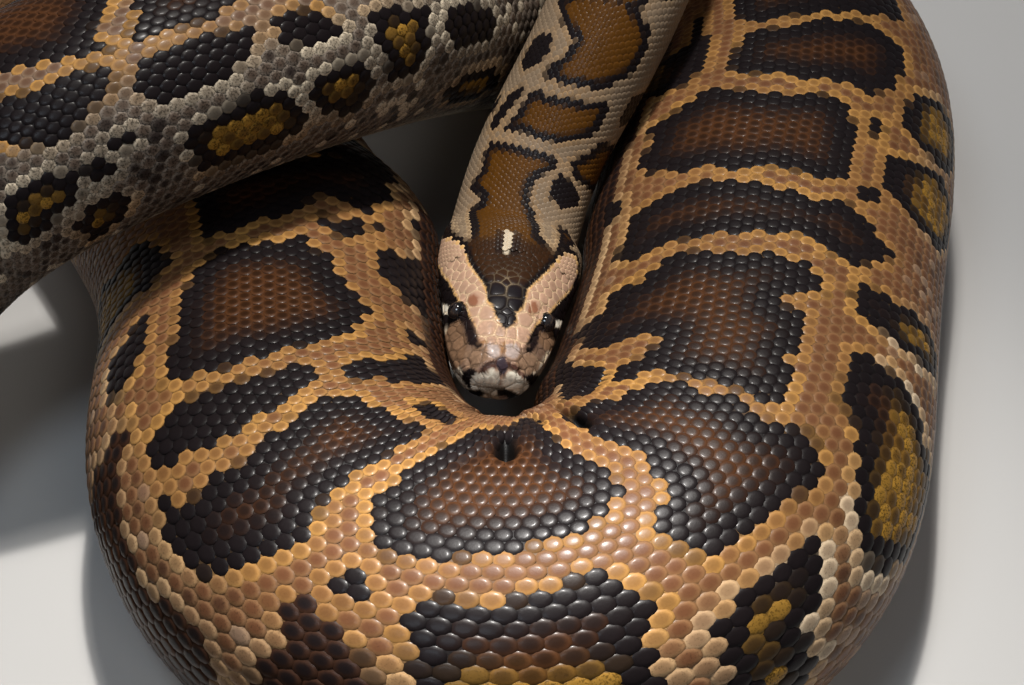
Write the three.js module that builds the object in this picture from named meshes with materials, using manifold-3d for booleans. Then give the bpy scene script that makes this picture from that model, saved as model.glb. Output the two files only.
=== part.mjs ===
// A coiled Burmese python at rest, life size, as closed solids.
// Millimetres, +Z up, the floor at Z = 0. The head looks along -Y from between the two arms of the
// front bend, and the tail lies round the outside of the coil.
import * as THREE from 'three';
import { mergeVertices } from 'three/addons/utils/BufferGeometryUtils.js';
import Module from 'manifold-3d';

const wasm = await Module();
wasm.setup();

// ---------------------------------------------------------------- driving sizes
const SIDES = 24;               // facets round the body
const RING_STEP = 34;           // longest step between two rings along the body
const JOIN_GAP = 0.3;           // air left where one length meets the next
const REST_SINK = 0.96;         // centre height over half height: the belly presses flat on the floor
const SECTION_POWER = 0.92;     // below 1 the section is squarer than an ellipse
const FOLD_SHARE = 0.9;         // the inside of a tight bend reaches this share of the bend's radius

// The middle of the floor that the coil covers, in the route's own x and y: it becomes the origin.
const FLOOR_MIDDLE = { x: -88, y: 127 };

// Where the body's underside runs, from the nape to the tail tip: x, y, and its lift over the floor.
const ROUTE = [
  // the neck climbs over the far bend and comes down behind it
  [1, 75, 60], [15, 120, 78], [41, 160, 105], [64, 205, 129], [81, 262, 140], [93, 332, 140],
  [101, 408, 124], [98, 488, 72], [58, 562, 8],
  // the hidden loop at the back
  [-30, 590, 0], [-125, 568, 0], [-210, 498, 0], [-262, 400, 0], [-250, 290, 0], [-200, 194, 0],
  // the left arm
  [-151, 98, 0], [-130, 5, 0], [-122, -70, 0],
  // the front bend
  [-90, -136, 0], [-34, -171, 0], [31, -170, 0], [86, -133, 0], [115, -73, 0],
  // the right arm and the far bend beneath the neck
  [130, 5, 0], [146, 85, 0], [163, 160, 0], [168, 230, 0], [150, 292, 0], [100, 334, 0], [36, 337, 2],
  // up and over the left arm, then down outside it
  [-17, 300, 24], [-55, 242, 62], [-94, 180, 101], [-142, 128, 123], [-204, 82, 127],
  [-275, 44, 109], [-335, 4, 70], [-366, -62, 28],
  // the tail, round the outside of the front bend
  [-372, -142, 2], [-357, -224, 0], [-310, -296, 0], [-235, -342, 0], [-148, -362, 0], [-58, -366, 0],
  [32, -360, 0], [120, -344, 0], [204, -316, 0],
];

// How the body swells and tapers: distance from the nape, half width, half height.
const GIRTH = [
  [0, 36, 27], [110, 37, 32], [270, 41, 37], [460, 50, 46], [640, 64, 58], [820, 80, 66],
  [1000, 91, 66], [1150, 94, 60], [1250, 94, 57], [1370, 92, 65], [1530, 102, 70], [1650, 106, 71],
  [1870, 100, 71], [2000, 98, 70], [2150, 93, 69], [2350, 85, 65], [2550, 79, 62], [2850, 70, 56],
  [3100, 63, 54], [3300, 50, 46], [3460, 36, 34], [3590, 24, 23], [3690, 14, 14], [3740, 6, 6],
  [3753, 3, 3],
];

// How much the body's left side swells where it leans against the head and neck.
// Columns: distance from the nape, swell.
const SWELL = [
  [0, 0], [1290, 0], [1325, 9], [1350, 12], [1375, 6.5], [1400, 3], [1425, 1], [1450, 0],
  [1790, 0], [1825, 6], [1850, 4], [1875, 2.5], [1900, 0.8], [1925, 0], [1940, 0.8], [1960, 4.2],
  [2000, 7], [2025, 9], [2060, 10], [2110, 5], [2160, 0], [3753, 0],
];

// The lengths that the body is parted into, each with the distance of its far end from the nape.
const LENGTHS = [
  ['neck_front', 150], ['neck_middle', 310], ['neck_rear', 480],
  ['trunk_01', 650], ['trunk_02', 820], ['trunk_03', 1000], ['trunk_04', 1190], ['trunk_05', 1370],
  ['trunk_06', 1530], ['trunk_07', 1650], ['trunk_08', 1770], ['trunk_09', 1920], ['trunk_10', 2090],
  ['trunk_11', 2220], ['trunk_12', 2340], ['trunk_13', 2470], ['trunk_14', 2640], ['trunk_15', 2810],
  ['trunk_16', 2980], ['trunk_17', 3130], ['trunk_18', 3280],
  ['tail_base', 3450], ['tail_middle', 3610], ['tail_tip', Infinity],
];

// The head, measured back from the snout tip to the nape.
const HEAD = { length: 126, pitch: -4, yaw: 5, roll: 5, rings: 20 };
// share of the head's length, half width at the lips, crown above the axis, throat below it,
// and how much narrower the crown is than the lips
const HEAD_FORM = [
  [0, 9, 3, 9, 0.2], [0.015, 14, 7, 13, 0.28], [0.05, 18.5, 10.5, 16, 0.36], [0.1, 22, 12.8, 18, 0.4],
  [0.18, 26, 14.8, 19.5, 0.38], [0.28, 29, 17.6, 20.5, 0.32], [0.38, 31, 20, 21.3, 0.27],
  [0.5, 33.5, 21.7, 22, 0.24], [0.64, 36.7, 23, 23.5, 0.2], [0.78, 39.4, 24.2, 25.5, 0.13],
  [0.87, 39.6, 25, 26.7, 0.07], [0.95, 37.6, 26.2, 27, 0.02], [1, 36, 27, 27, 0],
];
const MOUTH = { corner: 0.72, frontDrop: 5.5, cornerDrop: 8, gap: 0.4 };
const EYE = { radius: 5.4, along: 0.35, out: 23.4, up: 7.6, socketGap: 0.3 };

// ---------------------------------------------------------------- curves
const rowBeyond = (rows, i) => {
  const last = rows.length - 1;
  if (i < 0) return rows[0].map((value, c) => 2 * value - rows[1][c]);
  if (i > last) return rows[last].map((value, c) => 2 * value - rows[last - 1][c]);
  return rows[i];
};

// Each row pushed outwards by a sixth of its second difference, so that the smooth spline below,
// which cuts corners by about as much, passes by the row itself.
const KNOTS = ROUTE.map((row, i) => row.map((value, c) => value
  - (rowBeyond(ROUTE, i - 1)[c] - 2 * value + rowBeyond(ROUTE, i + 1)[c]) / 6));

// A uniform cubic B-spline, whose bend changes smoothly along the body.
function spline(rows, t) {
  const k = Math.min(Math.max(Math.floor(t), 0), rows.length - 2);
  const f = t - k;
  const near = [k - 1, k, k + 1, k + 2].map((i) => rowBeyond(rows, i));
  const share = [(1 - f) ** 3, 3 * f ** 3 - 6 * f * f + 4, 1 + 3 * f + 3 * f * f - 3 * f ** 3, f ** 3];
  return rows[0].map((_, c) => near.reduce((sum, row, i) => sum + row[c] * share[i] / 6, 0));
}

// A table's value by its first column, eased between rows so that it never overshoots.
function tableAt(rows, x) {
  const last = rows.length - 1;
  if (x <= rows[0][0]) return rows[0].slice(1);
  if (x >= rows[last][0]) return rows[last].slice(1);
  const k = rows.findIndex((row) => row[0] > x) - 1;
  const slope = (i, c) => {
    if (i <= 0 || i >= last) return 0;
    const before = (rows[i][c] - rows[i - 1][c]) / (rows[i][0] - rows[i - 1][0]);
    const after = (rows[i + 1][c] - rows[i][c]) / (rows[i + 1][0] - rows[i][0]);
    return before * after <= 0 ? 0 : 2 * before * after / (before + after);
  };
  const h = rows[k + 1][0] - rows[k][0];
  const f = (x - rows[k][0]) / h;
  return rows[k].slice(1).map((value, index) => {
    const c = index + 1;
    return (1 + 2 * f) * (1 - f) ** 2 * value + f * (1 - f) ** 2 * h * slope(k, c)
      + f * f * (3 - 2 * f) * rows[k + 1][c] - f * f * (1 - f) * h * slope(k + 1, c);
  });
}

// The route's length, walked in short steps, so that the body can be placed by distance.
const WALK_STEPS = 4000;
const walk = [0];
let previous = spline(KNOTS, 0);
for (let i = 1; i <= WALK_STEPS; i += 1) {
  const here = spline(KNOTS, i / WALK_STEPS * (ROUTE.length - 1));
  walk.push(walk[i - 1] + Math.hypot(...here.map((value, c) => value - previous[c])));
  previous = here;
}
const BODY_LENGTH = walk[WALK_STEPS];

function centreAt(s) {
  const clipped = Math.min(Math.max(s, 0), BODY_LENGTH);
  let low = 0;
  let high = WALK_STEPS;
  while (high - low > 1) {
    const middle = (low + high) >> 1;
    if (walk[middle] <= clipped) low = middle; else high = middle;
  }
  const part = (clipped - walk[low]) / (walk[high] - walk[low]);
  const [x, y, lift] = spline(KNOTS, (low + part) / WALK_STEPS * (ROUTE.length - 1));
  const [, halfHeight] = tableAt(GIRTH, clipped);
  return new THREE.Vector3(x, y, lift + REST_SINK * halfHeight);
}

// Axes of the body at s: along towards the tail, side to the body's right, back upwards.
function frameAt(s) {
  const reach = 3;
  const ahead = centreAt(s + reach);
  const behind = centreAt(s - reach);
  const along = ahead.clone().sub(behind).normalize();
  const side = along.clone().cross(new THREE.Vector3(0, 0, 1)).normalize();
  const back = side.clone().cross(along);
  return { centre: centreAt(s), along, side, back };
}

// Signed bend of the route seen from above: positive where it turns towards its own right side.
function bendAt(s) {
  const reach = 24;
  const before = frameAt(s - reach);
  const after = frameAt(s + reach);
  const turn = after.along.clone().sub(before.along);
  return turn.dot(frameAt(s).side) / after.centre.distanceTo(before.centre);
}

// ---------------------------------------------------------------- body
function softPower(value, power) {
  return Math.sign(value) * Math.abs(value) ** power;
}

function bodyRing(s) {
  const { centre, side, back } = frameAt(s);
  const [halfWidth, halfHeight] = tableAt(GIRTH, s);
  const bend = bendAt(s);
  const [swell] = tableAt(SWELL, s);
  const foldReach = FOLD_SHARE / Math.max(Math.abs(bend), 1e-6);
  return Array.from({ length: SIDES }, (_, i) => {
    const angle = (i + 0.5) / SIDES * 2 * Math.PI;
    const across = softPower(Math.sin(angle), SECTION_POWER);
    const up = softPower(Math.cos(angle), SECTION_POWER);
    const width = across < 0 ? halfWidth + swell : halfWidth;
    const reach = across * bend > 0 ? Math.min(width, foldReach) : width;
    const point = centre.clone().addScaledVector(side, reach * across);
    point.addScaledVector(back, halfHeight * up);
    point.z = Math.max(point.z, 0);
    return point;
  });
}

// A closed solid through a row of rings with equal counts, capped at both ends.
function loft(rings) {
  const count = rings[0].length;
  const positions = rings.flat().flatMap((point) => [point.x, point.y, point.z]);
  const faces = [];
  for (let r = 0; r + 1 < rings.length; r += 1) {
    for (let i = 0; i < count; i += 1) {
      const j = (i + 1) % count;
      const [a, b] = [r * count + i, r * count + j];
      faces.push(a, b, b + count, a, b + count, a + count);
    }
  }
  const far = (rings.length - 1) * count;
  for (let i = 1; i + 1 < count; i += 1) {
    faces.push(0, i + 1, i, far, far + i, far + i + 1);
  }
  const geometry = new THREE.BufferGeometry();
  geometry.setAttribute('position', new THREE.Float32BufferAttribute(positions, 3));
  geometry.setIndex(faces);
  return geometry;
}

function bodyLength(from, to) {
  const steps = Math.max(2, Math.ceil((to - from) / RING_STEP));
  return loft(Array.from({ length: steps + 1 }, (_, i) => bodyRing(from + (to - from) * i / steps)));
}

// ---------------------------------------------------------------- head
const degrees = THREE.MathUtils.degToRad;
const nape = frameAt(0);

// Head axes: forward to the snout, left and right of it, and up.
const headTurn = new THREE.Euler(degrees(HEAD.pitch), degrees(HEAD.roll), degrees(-HEAD.yaw), 'ZXY');

// A point of the head: how far behind the snout tip, how far to the head's left, how far up.
function headPoint(behindSnout, left, up) {
  const local = new THREE.Vector3(left, behindSnout - HEAD.length, up).applyEuler(headTurn);
  return local.add(nape.centre);
}

function headRing(share) {
  const [halfWidth, top, under, pinch] = tableAt(HEAD_FORM, share);
  const squareness = THREE.MathUtils.lerp(0.78, SECTION_POWER, share);
  const nose = headPoint(share * HEAD.length, 0, 0);
  const blend = THREE.MathUtils.smoothstep(share, 0.8, 1);
  const side = headPoint(0, 1, 0).sub(headPoint(0, 0, 0)).lerp(nape.side, blend).normalize();
  const up = headPoint(0, 0, 1).sub(headPoint(0, 0, 0)).lerp(nape.back, blend).normalize();
  return Array.from({ length: SIDES }, (_, i) => {
    const angle = (i + 0.5) / SIDES * 2 * Math.PI;
    const rise = softPower(Math.cos(angle), squareness);
    const width = halfWidth * (1 - pinch * Math.max(rise, 0));
    return nose.clone().addScaledVector(side, width * softPower(Math.sin(angle), squareness))
      .addScaledVector(up, rise * (rise > 0 ? top : under));
  });
}

function toSolid(geometry) {
  const bare = geometry.index ? geometry.clone() : geometry;
  bare.deleteAttribute('normal');
  bare.deleteAttribute('uv');
  const merged = mergeVertices(bare, 1e-4);
  const mesh = new wasm.Mesh({
    numProp: 3,
    vertProperties: new Float32Array(merged.attributes.position.array),
    triVerts: new Uint32Array(merged.index.array),
  });
  return new wasm.Manifold(mesh);
}

function toGeometry(solid) {
  const mesh = solid.getMesh();
  const geometry = new THREE.BufferGeometry();
  geometry.setAttribute('position', new THREE.BufferAttribute(new Float32Array(mesh.vertProperties), 3));
  geometry.setIndex(new THREE.BufferAttribute(new Uint32Array(mesh.triVerts), 1));
  return geometry;
}

function wholeHead() {
  const shares = Array.from({ length: HEAD.rings }, (_, i) => (i / (HEAD.rings - 1)) ** 1.35);
  const last = 1 - JOIN_GAP / HEAD.length;
  return toSolid(loft(shares.map((share) => headRing(Math.min(share, last)))));
}

// Everything below the mouth line, as a slab wider than the head; lowered makes the gap of the lips.
function belowMouth(lowered) {
  const { length } = HEAD;
  const outline = new THREE.Shape();
  outline.moveTo(-10, -MOUTH.frontDrop - lowered);
  outline.quadraticCurveTo(length * MOUTH.corner * 0.5, -MOUTH.frontDrop + 1.5 - lowered,
    length * MOUTH.corner - lowered, -MOUTH.cornerDrop - lowered);
  outline.lineTo(length * (MOUTH.corner + 0.1) - lowered, -60);
  outline.lineTo(-10, -60);
  const reach = 60;
  const slab = new THREE.ExtrudeGeometry(outline,
    { depth: 2 * reach, bevelEnabled: false, curveSegments: 8 });
  const positions = slab.attributes.position;
  for (let i = 0; i < positions.count; i += 1) {
    const placed = headPoint(positions.getX(i), positions.getZ(i) - reach, positions.getY(i));
    positions.setXYZ(i, placed.x, placed.y, placed.z);
  }
  return toSolid(slab);
}

function eyeBall(leftwards, radius) {
  const ball = new THREE.SphereGeometry(radius, 14, 10);
  const centre = headPoint(EYE.along * HEAD.length, leftwards * EYE.out, EYE.up);
  return ball.translate(centre.x, centre.y, centre.z);
}

// ---------------------------------------------------------------- assembly
const SKIN_BACK = { color: 0x5c4630, roughness: 0.38, metalness: 0 };
const SKIN_HEAD = { color: 0x7a5d43, roughness: 0.36, metalness: 0 };
const SKIN_TAIL = { color: 0x6b5336, roughness: 0.42, metalness: 0 };
const EYE_GLASS = { color: 0x1a1512, roughness: 0.06, metalness: 0 };

const group = new THREE.Group();
group.position.set(-FLOOR_MIDDLE.x, -FLOOR_MIDDLE.y, 0);

function addPart(name, geometry, finish) {
  const mesh = new THREE.Mesh(geometry, new THREE.MeshStandardMaterial(finish));
  mesh.name = name;
  group.add(mesh);
}

const sockets = [1, -1].map((leftwards) => toSolid(eyeBall(leftwards, EYE.radius + EYE.socketGap)));
const head = sockets.reduce((solid, socket) => solid.subtract(socket), wholeHead());
addPart('head', toGeometry(head.subtract(belowMouth(0))), SKIN_HEAD);
addPart('lower_jaw', toGeometry(wholeHead().intersect(belowMouth(MOUTH.gap))), SKIN_HEAD);
addPart('eye_left', eyeBall(1, EYE.radius), EYE_GLASS);
addPart('eye_right', eyeBall(-1, EYE.radius), EYE_GLASS);

let from = 0;
for (const [name, to] of LENGTHS) {
  const end = Math.min(to, BODY_LENGTH);
  const finish = name.startsWith('tail') ? SKIN_TAIL : SKIN_BACK;
  addPart(name, bodyLength(from, Number.isFinite(to) ? end - JOIN_GAP : end), finish);
  from = end;
}

export default group;
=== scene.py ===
import math

import bmesh
import bpy
import numpy as np
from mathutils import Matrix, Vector
from mathutils.bvhtree import BVHTree
from mathutils.kdtree import KDTree


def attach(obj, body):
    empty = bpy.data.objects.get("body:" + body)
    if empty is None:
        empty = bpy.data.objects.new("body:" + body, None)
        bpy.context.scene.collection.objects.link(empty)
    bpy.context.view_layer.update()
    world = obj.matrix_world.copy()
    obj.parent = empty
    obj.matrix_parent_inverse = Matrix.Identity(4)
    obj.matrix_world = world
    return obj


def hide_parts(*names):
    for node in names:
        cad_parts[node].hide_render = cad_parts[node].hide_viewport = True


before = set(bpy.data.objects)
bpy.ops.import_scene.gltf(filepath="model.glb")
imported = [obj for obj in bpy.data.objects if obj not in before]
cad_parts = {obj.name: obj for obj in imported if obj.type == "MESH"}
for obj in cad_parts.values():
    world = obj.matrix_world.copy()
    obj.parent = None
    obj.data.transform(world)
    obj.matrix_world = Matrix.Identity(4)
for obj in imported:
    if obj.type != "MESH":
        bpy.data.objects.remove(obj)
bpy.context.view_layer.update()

rng = np.random.default_rng(11)

# ------------------------------------------------------------------ the body's route and girth
# Millimetres from the route's own origin, which lies on the floor below the nape.
ROUTE = np.array([
    [1, 75, 60], [15, 120, 78], [41, 160, 105], [64, 205, 129], [81, 262, 140], [93, 332, 140],
    [101, 408, 124], [98, 488, 72], [58, 562, 8],
    [-30, 590, 0], [-125, 568, 0], [-210, 498, 0], [-262, 400, 0], [-250, 290, 0], [-200, 194, 0],
    [-151, 98, 0], [-130, 5, 0], [-122, -70, 0],
    [-90, -136, 0], [-34, -171, 0], [31, -170, 0], [86, -133, 0], [115, -73, 0],
    [130, 5, 0], [146, 85, 0], [163, 160, 0], [168, 230, 0], [150, 292, 0], [100, 334, 0], [36, 337, 2],
    [-17, 300, 24], [-55, 242, 62], [-94, 180, 101], [-142, 128, 123], [-204, 82, 127],
    [-275, 44, 109], [-335, 4, 70], [-366, -62, 28],
    [-372, -142, 2], [-357, -224, 0], [-310, -296, 0], [-235, -342, 0], [-148, -362, 0], [-58, -366, 0],
    [32, -360, 0], [120, -344, 0], [204, -316, 0]], float)
# Distance behind the nape, then half the breadth and half the height there.
GIRTH = np.array([
    [0, 36, 27], [110, 37, 32], [270, 41, 37], [460, 50, 46], [640, 64, 58], [820, 80, 66],
    [1000, 91, 66], [1150, 94, 60], [1250, 94, 57], [1370, 92, 65], [1530, 102, 70], [1650, 106, 71],
    [1870, 100, 71], [2000, 98, 70], [2150, 93, 69], [2350, 85, 65], [2550, 79, 62], [2850, 70, 56],
    [3100, 63, 54], [3300, 50, 46], [3460, 36, 34], [3590, 24, 23], [3690, 14, 14], [3740, 6, 6],
    [3753, 3, 3]], float)
# How much the body's left side swells where it leans against the head and neck.
SWELL = np.array([
    [0, 0], [1290, 0], [1325, 9], [1350, 12], [1375, 6.5], [1400, 3], [1425, 1], [1450, 0], [1790, 0],
    [1825, 6], [1850, 4], [1875, 2.5], [1900, 0.8], [1925, 0], [1940, 0.8], [1960, 4.2], [2000, 7],
    [2025, 9], [2060, 10], [2110, 5], [2160, 0], [3753, 0]], float)
REST_SINK = 0.96           # the axis lies this share of the half height over the route
SECTION_POWER, SNOUT_POWER = 0.92, 0.78     # the lower, the squarer the section
FOLD_SHARE = 0.9           # a bend's inside reaches at most this share of the way to its centre
HEAD_LENGTH = 126.0
HEAD_PITCH, HEAD_YAW, HEAD_ROLL = -4, 5, 5
# Share of the head's length from the snout, then half its breadth, its height over the axis and its depth
# under it, and how much narrower the crown is.
HEAD_FORM = np.array([
    [0, 9, 3, 9, 0.2], [0.015, 14, 7, 13, 0.28], [0.05, 18.5, 10.5, 16, 0.36], [0.1, 22, 12.8, 18, 0.4],
    [0.18, 26, 14.8, 19.5, 0.38], [0.28, 29, 17.6, 20.5, 0.32], [0.38, 31, 20, 21.3, 0.27],
    [0.5, 33.5, 21.7, 22, 0.24], [0.64, 36.7, 23, 23.5, 0.2], [0.78, 39.4, 24.2, 25.5, 0.13],
    [0.87, 39.6, 25, 26.7, 0.07], [0.95, 37.6, 26.2, 27, 0.02], [1, 36, 27, 27, 0]])
MOUTH_CORNER, MOUTH_FRONT, MOUTH_BACK = 0.72, 5.5, 8
EYE_RADIUS, EYE_ALONG, EYE_OUT, EYE_UP = 5.4, 0.35, 23.4, 7.6
FLOOR_MIDDLE = np.array([-88.0, 127.0, 0.0])


def padded(rows):
    return np.vstack([2 * rows[0] - rows[1], rows, 2 * rows[-1] - rows[-2]])


def spline(rows, t):
    """A uniform cubic B-spline over the rows, at each t."""
    rows = padded(rows)
    k = np.clip(np.floor(t), 0, len(rows) - 4).astype(int)
    f = (t - k)[:, None]
    near = [rows[k + i] for i in range(4)]
    share = [(1 - f) ** 3, 3 * f ** 3 - 6 * f * f + 4, 1 + 3 * f + 3 * f * f - 3 * f ** 3, f ** 3]
    return sum(row * part for row, part in zip(near, share)) / 6


def eased(rows, x):
    """Each column of a table at x, eased between rows so that it never overshoots."""
    x = np.clip(x, rows[0, 0], rows[-1, 0])
    gaps = np.diff(rows[:, 0])
    steps = np.diff(rows[:, 1:], axis=0) / gaps[:, None]
    before, after = steps[:-1], steps[1:]
    product = before * after
    slope = np.zeros_like(rows[:, 1:])
    slope[1:-1] = np.where(product > 0, 2 * product / np.where(product > 0, before + after, 1), 0)
    k = np.clip(np.searchsorted(rows[:, 0], x, side="right") - 1, 0, len(rows) - 2)
    h = gaps[k][:, None]
    f = ((x - rows[k, 0]) / gaps[k])[:, None]
    return ((1 + 2 * f) * (1 - f) ** 2 * rows[k, 1:] + f * (1 - f) ** 2 * h * slope[k]
            + f * f * (3 - 2 * f) * rows[k + 1, 1:] - f * f * (1 - f) * h * slope[k + 1])


def unit(v):
    return v / np.maximum(np.linalg.norm(v, axis=-1, keepdims=True), 1e-12)


def soft_power(value, power):
    return np.sign(value) * np.abs(value) ** power


def smooth(low, high, x):
    f = np.clip((x - low) / (high - low), 0, 1)
    return f * f * (3 - 2 * f)


def distance_along(points):
    """How far along a line of points each of them lies."""
    return np.concatenate([[0], np.cumsum(np.linalg.norm(np.diff(points, axis=0), axis=1))])


# The route walked in short steps, then its centre and axes kept at stations a millimetre apart.
WALK_STEPS = 4000
AXIS_REACH, BEND_REACH = 3, 24      # how far either way the route's direction and bend are measured, in mm
LONG_ROUTE = padded(ROUTE)
KNOTS = ROUTE - (LONG_ROUTE[:-2] - 2 * ROUTE + LONG_ROUTE[2:]) / 6
WALKED = distance_along(spline(KNOTS, np.linspace(0, len(ROUTE) - 1, WALK_STEPS + 1)))
BODY_LENGTH = WALKED[-1]
STATIONS = np.arange(0, math.floor(BODY_LENGTH) + 1.0)


def centre_at(s):
    s = np.clip(s, 0, BODY_LENGTH)
    t = np.interp(s, WALKED, np.linspace(0, len(ROUTE) - 1, len(WALKED)))
    centre = spline(KNOTS, t)
    centre[:, 2] += REST_SINK * eased(GIRTH, s)[:, 1]
    return centre


def axes_at(s):
    along = unit(centre_at(s + AXIS_REACH) - centre_at(s - AXIS_REACH))
    side = unit(np.cross(along, [0, 0, 1.0]))
    return along, side, np.cross(side, along)


def bend_at(s):
    ahead, behind = s + BEND_REACH, s - BEND_REACH
    turn = axes_at(ahead)[0] - axes_at(behind)[0]
    return np.sum(turn * axes_at(s)[1], axis=1) / np.linalg.norm(centre_at(ahead) - centre_at(behind), axis=1)


BODY = np.hstack([centre_at(STATIONS), *axes_at(STATIONS)[1:], eased(GIRTH, STATIONS),
                  bend_at(STATIONS)[:, None], eased(SWELL, STATIONS)])


def body_at(s):
    s = np.clip(s, 0, STATIONS[-1])
    low = np.minimum(s.astype(int), len(STATIONS) - 2)
    f = (s - low)[:, None]
    row = BODY[low] * (1 - f) + BODY[low + 1] * f
    return row[:, :3], unit(row[:, 3:6]), unit(row[:, 6:9]), row[:, 9], row[:, 10], row[:, 11], row[:, 12]


# Equal steps of u are equal steps round a section of the body's usual shape.
USUAL_BREADTH = 1.42       # of a section, over its height
SECTION_ANGLES = np.linspace(0, math.pi, 721)
SECTION_SHARES = distance_along(np.stack([USUAL_BREADTH * soft_power(np.sin(SECTION_ANGLES), SECTION_POWER),
                                          soft_power(np.cos(SECTION_ANGLES), SECTION_POWER)], 1))
SECTION_SHARES /= SECTION_SHARES[-1]


def angle_at(u):
    """The section's angle at u: 0 on the back, 1 or -1 under the belly; u turns on past either."""
    turned = (u + 1) % 2 - 1
    return np.sign(turned) * np.interp(np.abs(turned), SECTION_SHARES, SECTION_ANGLES)


def turn_matrix():
    x, y, z = np.radians([HEAD_PITCH, HEAD_ROLL, -HEAD_YAW])
    cx, sx, cy, sy, cz, sz = math.cos(x), math.sin(x), math.cos(y), math.sin(y), math.cos(z), math.sin(z)
    rx = np.array([[1, 0, 0], [0, cx, -sx], [0, sx, cx]])
    ry = np.array([[cy, 0, sy], [0, 1, 0], [-sy, 0, cy]])
    rz = np.array([[cz, -sz, 0], [sz, cz, 0], [0, 0, 1]])
    return rz @ rx @ ry


HEAD_TURN = turn_matrix()
NAPE = centre_at(np.zeros(1))[0]
NAPE_AXES = [axis[0] for axis in axes_at(np.zeros(1))]


def section_power(share):
    """How square the head's section is: squarest at the snout, and like the body's at the nape."""
    return SNOUT_POWER + (SECTION_POWER - SNOUT_POWER) * share


def head_point(across, behind, above):
    """A place given from the snout tip in the head's own directions, in the route's millimetres."""
    return HEAD_TURN @ np.array([across, behind - HEAD_LENGTH, above]) + NAPE


def head_section(share):
    """Centre, axes and form of the head's section at each share of its length from the snout."""
    form = eased(HEAD_FORM, share)
    local = np.stack([np.zeros_like(share), share * HEAD_LENGTH - HEAD_LENGTH, np.zeros_like(share)], 1)
    centre = local @ HEAD_TURN.T + NAPE
    blend = smooth(0.8, 1, share)[:, None]
    side = unit(HEAD_TURN[:, 0] * (1 - blend) + NAPE_AXES[1] * blend)
    up = unit(HEAD_TURN[:, 2] * (1 - blend) + NAPE_AXES[2] * blend)
    return centre, side, up, form, section_power(share)


def surface(q, u, out=0.0):
    """Points of the solid's smooth outline, moved outwards by out.

    q is the distance behind the nape, negative on the head; u goes round from the back."""
    q, u, out = np.broadcast_arrays(np.asarray(q, float), u, out)
    shape = q.shape
    q, u, out = q.ravel(), u.ravel(), out.ravel()
    angle = angle_at(u)
    point = np.empty((len(q), 3))
    body = q >= 0
    if body.any():
        centre, side, back, half_width, half_height, bend, swell = body_at(q[body])
        across = soft_power(np.sin(angle[body]), SECTION_POWER)
        rise = soft_power(np.cos(angle[body]), SECTION_POWER)
        reach = half_width + np.where(across < 0, swell, 0)
        inner = np.minimum(reach, FOLD_SHARE / np.maximum(np.abs(bend), 1e-6))
        reach = np.where(across * bend > 0, inner, reach)
        normal = unit(np.stack([across / half_width, rise / half_height], 1))
        point[body] = (centre + side * (reach * across + normal[:, 0] * out[body])[:, None]
                       + back * (half_height * rise + normal[:, 1] * out[body])[:, None])
    head = ~body
    if head.any():
        share = np.clip(1 + q[head] / HEAD_LENGTH, 0, 1)
        centre, side, up, form, power = head_section(share)
        rise = soft_power(np.cos(angle[head]), power)
        width = form[:, 0] * (1 - form[:, 3] * np.maximum(rise, 0))
        across = soft_power(np.sin(angle[head]), power)
        height = np.where(rise > 0, form[:, 1], form[:, 2])
        normal = unit(np.stack([across / width, rise / height], 1))
        point[head] = (centre + side * (width * across + normal[:, 0] * out[head])[:, None]
                       + up * (height * rise + normal[:, 1] * out[head])[:, None])
    point[:, 2] = np.maximum(point[:, 2], 0)
    return point.reshape(shape + (3,))


def to_frame(points):
    """From the route's millimetres to the frame's metres."""
    return (np.asarray(points) - FLOOR_MIDDLE) / 1000


def angle_share(degrees):
    """The u at which the section's angle is so many degrees from the back."""
    return np.interp(np.radians(degrees), SECTION_ANGLES, SECTION_SHARES)


# ------------------------------------------------------------------ markings
def colour(red, green, blue):
    """A paint's red, green and blue, given from 0 to 255, as linear light."""
    v = np.array([red, green, blue]) / 255
    return np.where(v <= 0.04045, v / 12.92, ((v + 0.055) / 1.055) ** 2.4)


INK = colour(25, 20, 21)
BROWN = colour(84, 52, 30)
TAN = colour(132, 96, 64)
TAN_HEART = colour(100, 64, 42)
GOLD = colour(184, 136, 74)
GREY = colour(134, 122, 110)
GREY_HEART = colour(84, 70, 60)
CREAM = colour(222, 206, 180)
OCHRE = colour(158, 118, 48)
OCHRE_HEART = colour(110, 80, 34)
BELLY = colour(206, 192, 166)
NECK_GROUND = colour(140, 120, 98)
NECK_BROWN = colour(90, 56, 16)
STRIPE = colour(184, 148, 124)
STRIPE_EDGE = colour(214, 168, 106)
SUPRAOCULAR = colour(146, 98, 74)
SNOUT = colour(160, 130, 110)
CHEEK = colour(112, 88, 72)
CROWN_FRONT = colour(25, 20, 24)
CROWN_REAR = colour(54, 33, 18)
LIP = colour(196, 178, 156)
LIP_WHITE = colour(236, 226, 208)
SEAM = colour(228, 200, 160)
CHEEK_SIDE = colour(120, 92, 70)
LORE = colour(36, 27, 27)
NASAL = colour(136, 108, 86)
STRIP = colour(156, 116, 82)
# A pale paint that stands for the internasal plates' glossy sheen: a painted highlight.
INTERNASAL_HIGHLIGHT = colour(176, 158, 150)
# Painted shade for the nostrils.
NOSTRIL_SHADE = colour(24, 19, 20)
GROOVE = colour(76, 52, 44)
ROSTRAL_DARK = colour(62, 51, 58)
# Painted shade for the mouth line and the shadowed lower jaw.
MOUTH_SHADE = colour(17, 14, 15)
CHIN = colour(150, 128, 114)

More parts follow.
